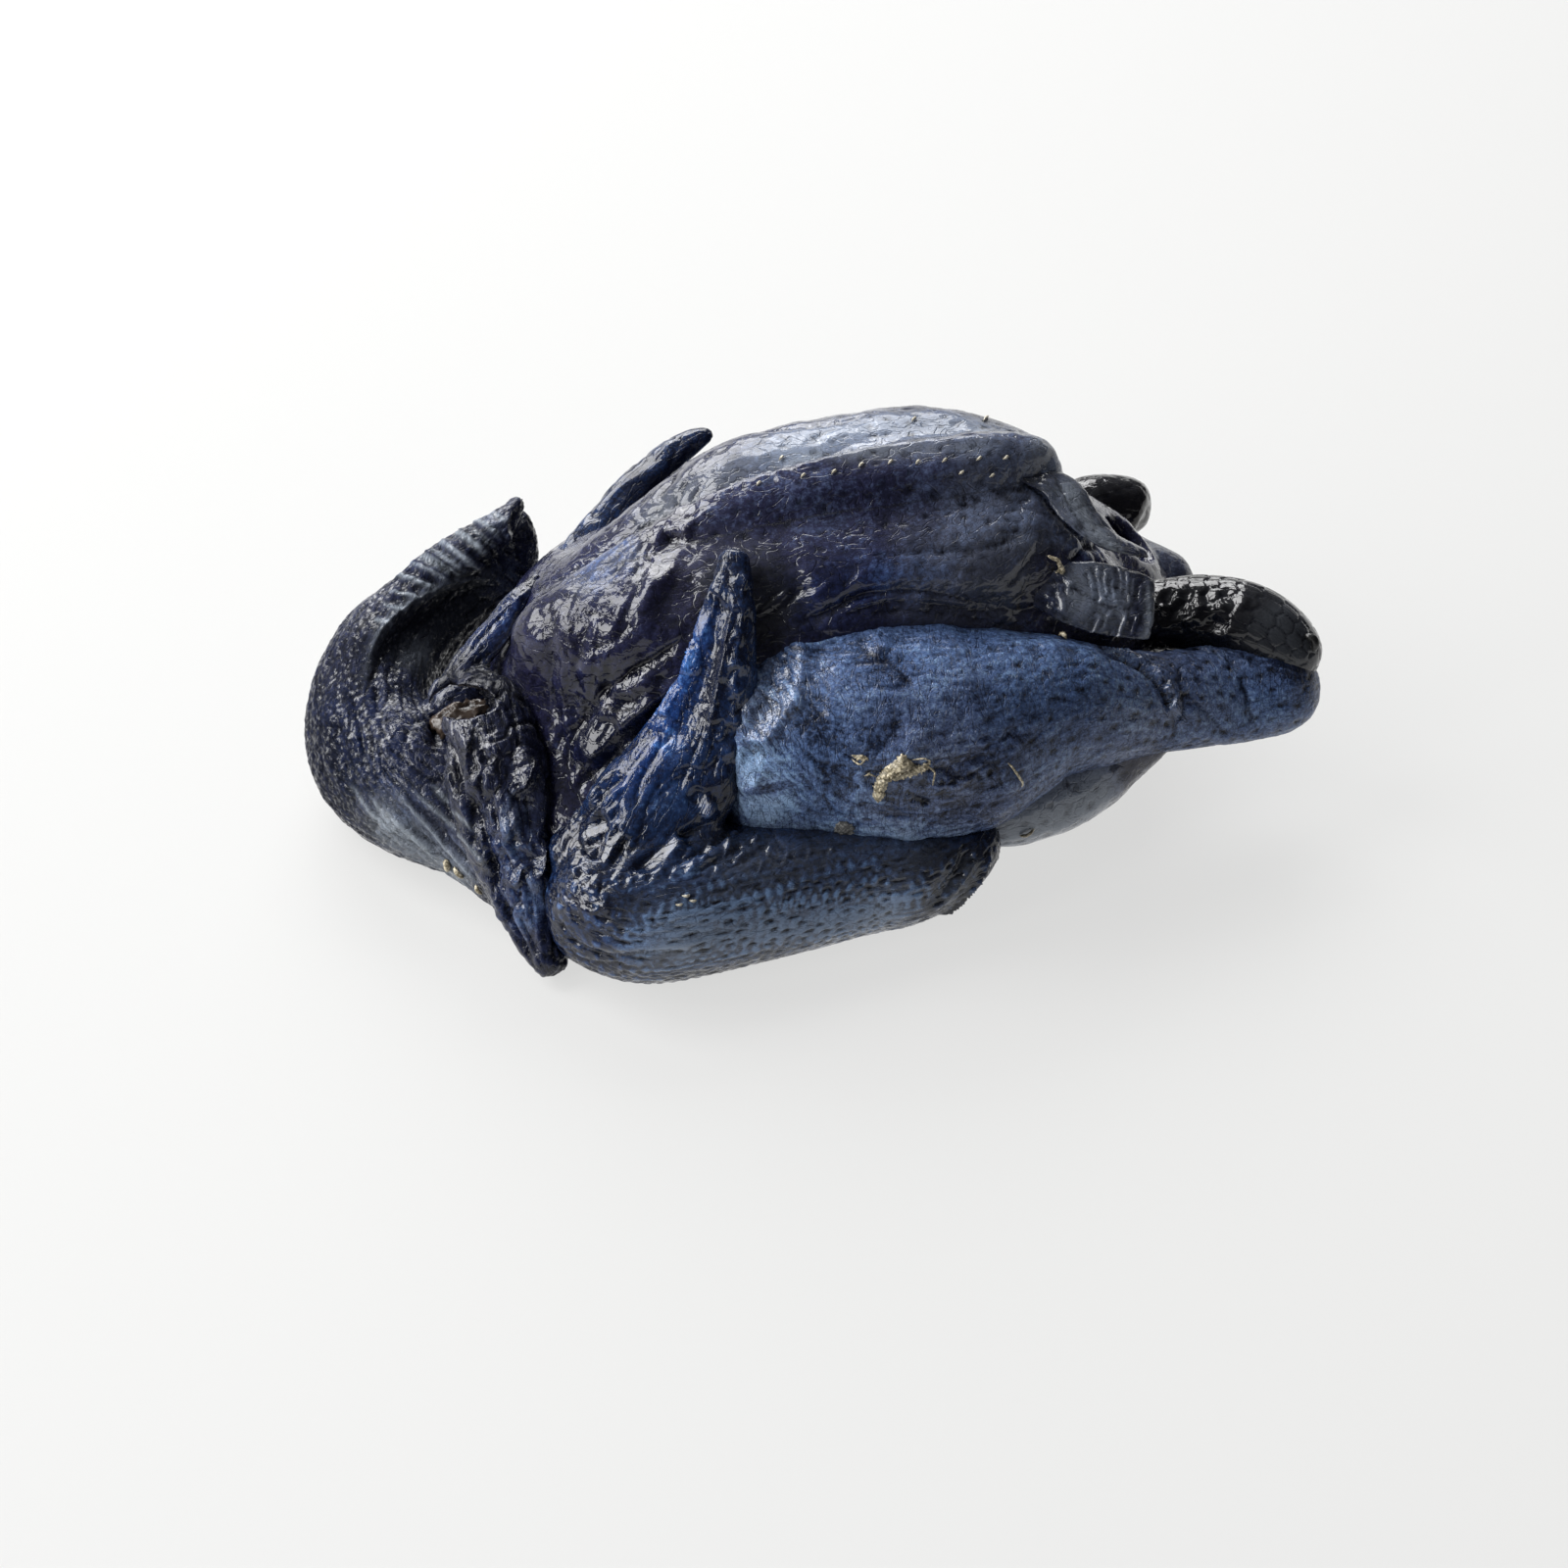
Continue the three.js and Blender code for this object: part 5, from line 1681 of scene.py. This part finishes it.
NECK_FOLDS = [
    # crest of the curled neck over its dark inner wall
    ("crest", 1.6, 1.6, [(516, 584), (500, 590), (480, 592), (458, 598), (436, 607), (414, 620),
                         (394, 638), (380, 662), (372, 696)]),
    ("groove", 4.0, 2.6, [(510, 606), (480, 612), (452, 622), (424, 642), (402, 668), (392, 700)]),
    ("crease", 1.5, 1.4, [(398, 646), (386, 672), (384, 706), (388, 740)]),
    # cross stripes
    *(("ridge", 1.2, height, path) for height, path in (
        (0.8, [(470, 522), (488, 530), (510, 546)]), (0.8, [(456, 534), (476, 546), (500, 566)]),
        (0.9, [(444, 546), (466, 562), (492, 584)]), (0.9, [(430, 560), (452, 572), (480, 588)]),
        (0.9, [(416, 572), (438, 580), (462, 592)]), (0.8, [(404, 586), (424, 592), (444, 600)]),
        (0.7, [(396, 604), (412, 606), (428, 612)]))),
    *(("crease", 1.2, depth, path) for depth, path in (
        (0.9, [(463, 528), (482, 538), (506, 558)]), (0.9, [(450, 540), (470, 554), (496, 576)]),
        (0.9, [(437, 554), (459, 568), (486, 586)]), (0.9, [(423, 566), (445, 577), (470, 590)]),
        (0.8, [(410, 580), (431, 586), (452, 597)]))),
    ("crease", 1.5, 1.0, [(528, 520), (524, 545), (532, 575)]),
    ("crest", 1.2, 0.8, [(528, 508), (518, 530), (520, 556), (530, 580)]),
    # where the neck meets the crop skin
    ("crease", 2.2, 3.0, [(438, 712), (446, 744), (458, 776), (468, 808), (482, 840), (494, 866)]),
    ("crease", 2.2, 2.4, [(494, 850), (500, 880), (503, 905), (516, 934), (530, 960), (546, 986)]),
    ("lip", 2.0, 1.0, [(470, 800), (478, 830), (490, 850), (498, 880), (504, 912)]),
    # pitted, hanging crop skin
    ("ridge", 1.8, 2.2, [(540, 770), (536, 790), (526, 808)]),
    ("ridge", 1.6, 1.8, [(556, 862), (552, 880), (544, 896)]),
    ("ridge", 1.6, 1.8, [(524, 826), (520, 842), (512, 856)]),
    ("ridge", 1.5, 1.6, [(534, 878), (530, 890), (524, 902)]),
    ("ridge", 2.0, 1.4, [(528, 752), (538, 776), (549, 798), (555, 820), (552, 850), (546, 880)]),
    ("crease", 1.4, 1.4, [(531, 752), (526, 772), (514, 800)]),
    ("crease", 1.4, 1.3, [(512, 802), (530, 816), (548, 822)]),
    ("ridge", 1.8, 1.0, [(530, 785), (522, 800)]),
    ("crease", 1.4, 1.2, [(522, 842), (526, 870), (538, 900), (552, 930)]),
    ("ridge", 2.0, 1.0, [(545, 870), (550, 890), (548, 912)]),
    ("crease", 1.3, 0.9, [(506, 700), (520, 722), (530, 750)]),
    ("ridge", 1.6, 1.1, [(484, 750), (478, 770), (482, 790)]),
    ("ridge", 1.6, 1.0, [(500, 745), (504, 770), (502, 796)]),
    ("groove", 1.8, 1.6, [(492, 764), (492, 780)]),
    ("crease", 1.3, 1.0, [(478, 806), (486, 824), (488, 846)]),
    ("crease", 1.3, 1.0, [(500, 806), (494, 826), (490, 846)]),
    ("crease", 1.6, 1.3, [(556, 930), (566, 950), (578, 972)]),
    ("crease", 1.4, 0.9, [(530, 930), (540, 956), (556, 976)]),
    # fibres along the neck's lower side
    ("ridge", 1.1, 0.9, [(402, 806), (432, 838), (462, 872), (494, 908)]),
    ("ridge", 1.1, 0.7, [(420, 806), (450, 832), (476, 858), (498, 890)]),
    ("ridge", 1.1, 0.6, [(390, 826), (420, 852), (452, 884)]),
    ("crease", 1.2, 0.8, [(410, 808), (440, 838), (470, 870), (497, 902)]),
    ("crease", 1.1, 0.7, [(396, 818), (426, 848), (456, 880), (484, 912)]),
    ("crease", 1.4, 0.9, [(356, 700), (366, 740), (372, 780)]),
    ("crease", 1.4, 0.9, [(340, 720), (346, 760), (362, 800), (392, 838)]),
    ("ridge", 1.8, 0.8, [(330, 740), (338, 780), (360, 820)]),
    # the blade of stiff skin behind the opening
    ("crest", 1.0, 0.8, [(470, 668), (496, 640), (520, 618), (546, 596)]),
    ("crease", 1.2, 0.8, [(480, 684), (506, 662), (530, 632), (548, 606)]),
]
NECK_TINTS = [
    ("blue", 6.0, 1.0, [(470, 670), (500, 640), (545, 600)]),
    ("blue", 9.0, 0.6, [(500, 840), (520, 900), (540, 960)]),
    ("blue", 8.0, 0.5, [(380, 790), (420, 840)]),
    ("tone", 2.6, 0.45, [(478, 522), (500, 532), (520, 550)]),
    ("tone", 2.0, 0.40, [(444, 548), (466, 563), (492, 584)]),
    ("tone", 2.0, 0.40, [(416, 573), (438, 581), (462, 592)]),
    # painted shade: the next tint darkens the inner wall under the neck's crest
    ("tone", 8.0, -0.35, [(500, 612), (460, 625), (430, 650), (410, 690)]),
    ("ash", 6.0, 0.10, [(516, 590), (480, 622), (440, 660), (430, 690)]),
    ("tone", 6.0, 0.45, [(525, 560), (520, 590), (500, 615)]),
    # painted sheen: the next two tints pale the lower side of the neck
    ("tone", 6.0, 0.5, [(400, 820), (440, 860), (490, 900)]),
    ("ash", 7.0, 0.7, [(370, 830), (430, 870), (490, 910)]),
    *(("ash", 0.55, 0.7, path) for path in (
        [(402, 806), (432, 838), (462, 872), (494, 908)], [(420, 806), (450, 832), (476, 858), (498, 890)],
        [(390, 826), (420, 852), (452, 884)], [(376, 812), (400, 842), (440, 868)],
        [(440, 800), (462, 826), (482, 850)], [(356, 800), (380, 832), (410, 856)])),
    ("ash", 6.0, 0.08, [(440, 650), (420, 690)]),
    ("blue", 14.0, 0.6, [(350, 690), (350, 750), (400, 800)]),
    ("tone", 14.0, -0.15, [(360, 670), (350, 720), (360, 770), (400, 800)]),
    ("wet", 14.0, -0.3, [(370, 640), (350, 700), (350, 760), (390, 810)]),
    ("wet", 4.0, -0.5, [(445, 705), (470, 686), (505, 695), (515, 720)]),
    ("tone", 4.0, -0.2, [(445, 705), (470, 686), (505, 695), (515, 720)]),
    # pale stripes over the neck
    *(("ash", 0.75, 1.0, path) for path in (
        [(486, 513), (500, 521), (518, 534)], [(470, 520), (488, 530), (512, 548)],
        [(454, 536), (474, 548), (500, 568)], [(442, 547), (465, 563), (492, 584)],
        [(424, 564), (446, 575), (470, 589)], [(404, 586), (424, 592), (444, 600)])),
    *(("ash", 0.5, 0.9, path) for path in (
        [(462, 528), (480, 538), (508, 560)], [(434, 555), (456, 569), (480, 586)],
        [(414, 573), (436, 581), (458, 593)], [(396, 603), (412, 606), (428, 612)],
        [(390, 616), (404, 620), (420, 624)], [(380, 630), (392, 634), (404, 640)])),
    ("ash", 1.6, 0.25, [(516, 584), (480, 592), (436, 607), (394, 638), (372, 696)]),
    ("tone", 8.0, 0.35, [(520, 800), (530, 900), (550, 960)]),
    ("wet", 8.0, 0.4, [(420, 730), (430, 780)]),
    ("wet", 9.0, 0.5, [(530, 770), (545, 860), (540, 940)]),
    ("wet", 10.0, -0.5, [(480, 560), (440, 600), (430, 660), (410, 700)]),
]
NECK_FLOW = [
    (8.0, [(470, 540), (500, 566), (530, 590)]),
    (12.0, [(400, 630), (370, 700), (372, 780), (420, 840), (500, 915)]),
    (10.0, [(545, 760), (552, 850), (560, 940)]),
]

# Strands: (skin, radius, lift, path). Scraps: (skin, outline, thickness, lift).
PIN_FEATHERS = [("torso_skin", 0.32, 0.4, [(x, y), (x + 3, y - 2.5), (x + 5.5, y - 4)]) for x, y in (
    (817, 488), (848, 484), (876, 477), (906, 474), (934, 474), (961, 472), (996, 470), (1023, 469),
    (978, 484), (1009, 487), (930, 431), (1003, 430), (795, 470), (772, 496))]
PIN_FEATHERS += [("near_wing", 0.30, 0.4, [(x, y), (x + 4, y + 1), (x + 8, y - 1)]) for x, y in (
    (703, 919), (689, 923), (696, 914))]
HAIRS = [
    ("near_leg", 0.28, 1.6, [(1028, 778), (1033, 782), (1036, 790), (1040, 796), (1042, 803)]),
    ("near_leg", 0.22, 1.2, [(942, 782), (950, 782), (953, 790), (952, 802)]),
    ("near_leg", 0.22, 1.0, [(894, 792), (887, 788), (882, 792)]),
    ("near_leg", 0.20, 0.9, [(869, 774), (877, 778), (886, 773)]),
    ("near_leg", 0.20, 0.9, [(930, 775), (942, 772), (950, 777)]),
    ("torso_skin", 0.45, 1.2, [(1068, 567), (1072, 570), (1077, 572), (1080, 580), (1076, 585)]),
    ("torso_skin", 0.60, 1.0, [(1078, 575), (1082, 580), (1081, 586)]),
    ("near_leg", 0.50, 0.8, [(1080, 649), (1083, 651), (1088, 653)]),
    ("torso_skin", 0.40, 0.8, [(1040, 852), (1047, 849), (1055, 845)]),
    ("neck_and_crop", 0.75, 0.7, [(455, 876), (458, 881), (459, 888)]),
    ("neck_and_crop", 0.55, 0.7, [(464, 884), (470, 889), (474, 895)]),
    ("neck_and_crop", 0.50, 0.7, [(486, 902), (490, 906), (493, 912)]),
]
SPUR = [("near_shank", 0.9, 1.2, [(1330, 648), (1335, 652), (1338, 658), (1338, 664)])]
SCRAPS = {
    "membrane_scrap": ("near_leg", [
        (889, 813), (891, 803), (894, 793), (900, 785), (908, 779), (915, 773), (921, 768), (928, 774),
        (937, 780), (950, 776), (947, 785), (938, 791), (924, 794), (914, 797), (906, 800), (903, 812),
        (896, 818)], 0.25, 1.0),
    "crust_scrap": ("near_leg", [
        (850, 846), (855, 839), (864, 838), (871, 842), (872, 850), (864, 855), (854, 855)], 0.2, 0.5),
    "membrane_flake": ("near_leg", [
        (869, 771), (876, 769), (886, 773), (884, 777), (874, 776)], 0.15, 0.4),
}

# ---------------------------------------------------------------- running it
SETTINGS = {"chicken_cells": CellSettings, "chicken_torso": TorsoFinish, "chicken_leg": LegFinish,
            "chicken_wing": WingFinish, "chicken_neck": NeckFinish, "chicken_shank": ShankFinish,
            "chicken_stage": StageSettings}
OPERATORS = (CHICKEN_OT_torso, CHICKEN_OT_vent, CHICKEN_OT_tail, CHICKEN_OT_legs, CHICKEN_OT_shanks,
             CHICKEN_OT_wings, CHICKEN_OT_neck, CHICKEN_OT_flesh, CHICKEN_OT_trimmings,
             CHICKEN_OT_stage)
CLASSES = (*SETTINGS.values(), *OPERATORS, CHICKEN_PT_panel)


def register():
    for cls in CLASSES:
        bpy.utils.register_class(cls)
    for key, cls in SETTINGS.items():
        setattr(bpy.types.Scene, key, PointerProperty(type=cls))


def unregister():
    for key in SETTINGS:
        delattr(bpy.types.Scene, key)
    for cls in reversed(CLASSES):
        bpy.utils.unregister_class(cls)


def main():
    register()
    bpy.ops.chicken.torso()
    bpy.ops.chicken.vent()
    bpy.ops.chicken.tail()
    bpy.ops.chicken.legs()
    bpy.ops.chicken.shanks()
    bpy.ops.chicken.wings()
    bpy.ops.chicken.neck()
    bpy.ops.chicken.flesh()
    bpy.ops.chicken.trimmings()
    bpy.ops.chicken.stage()


if __name__ == "__main__":
    main()
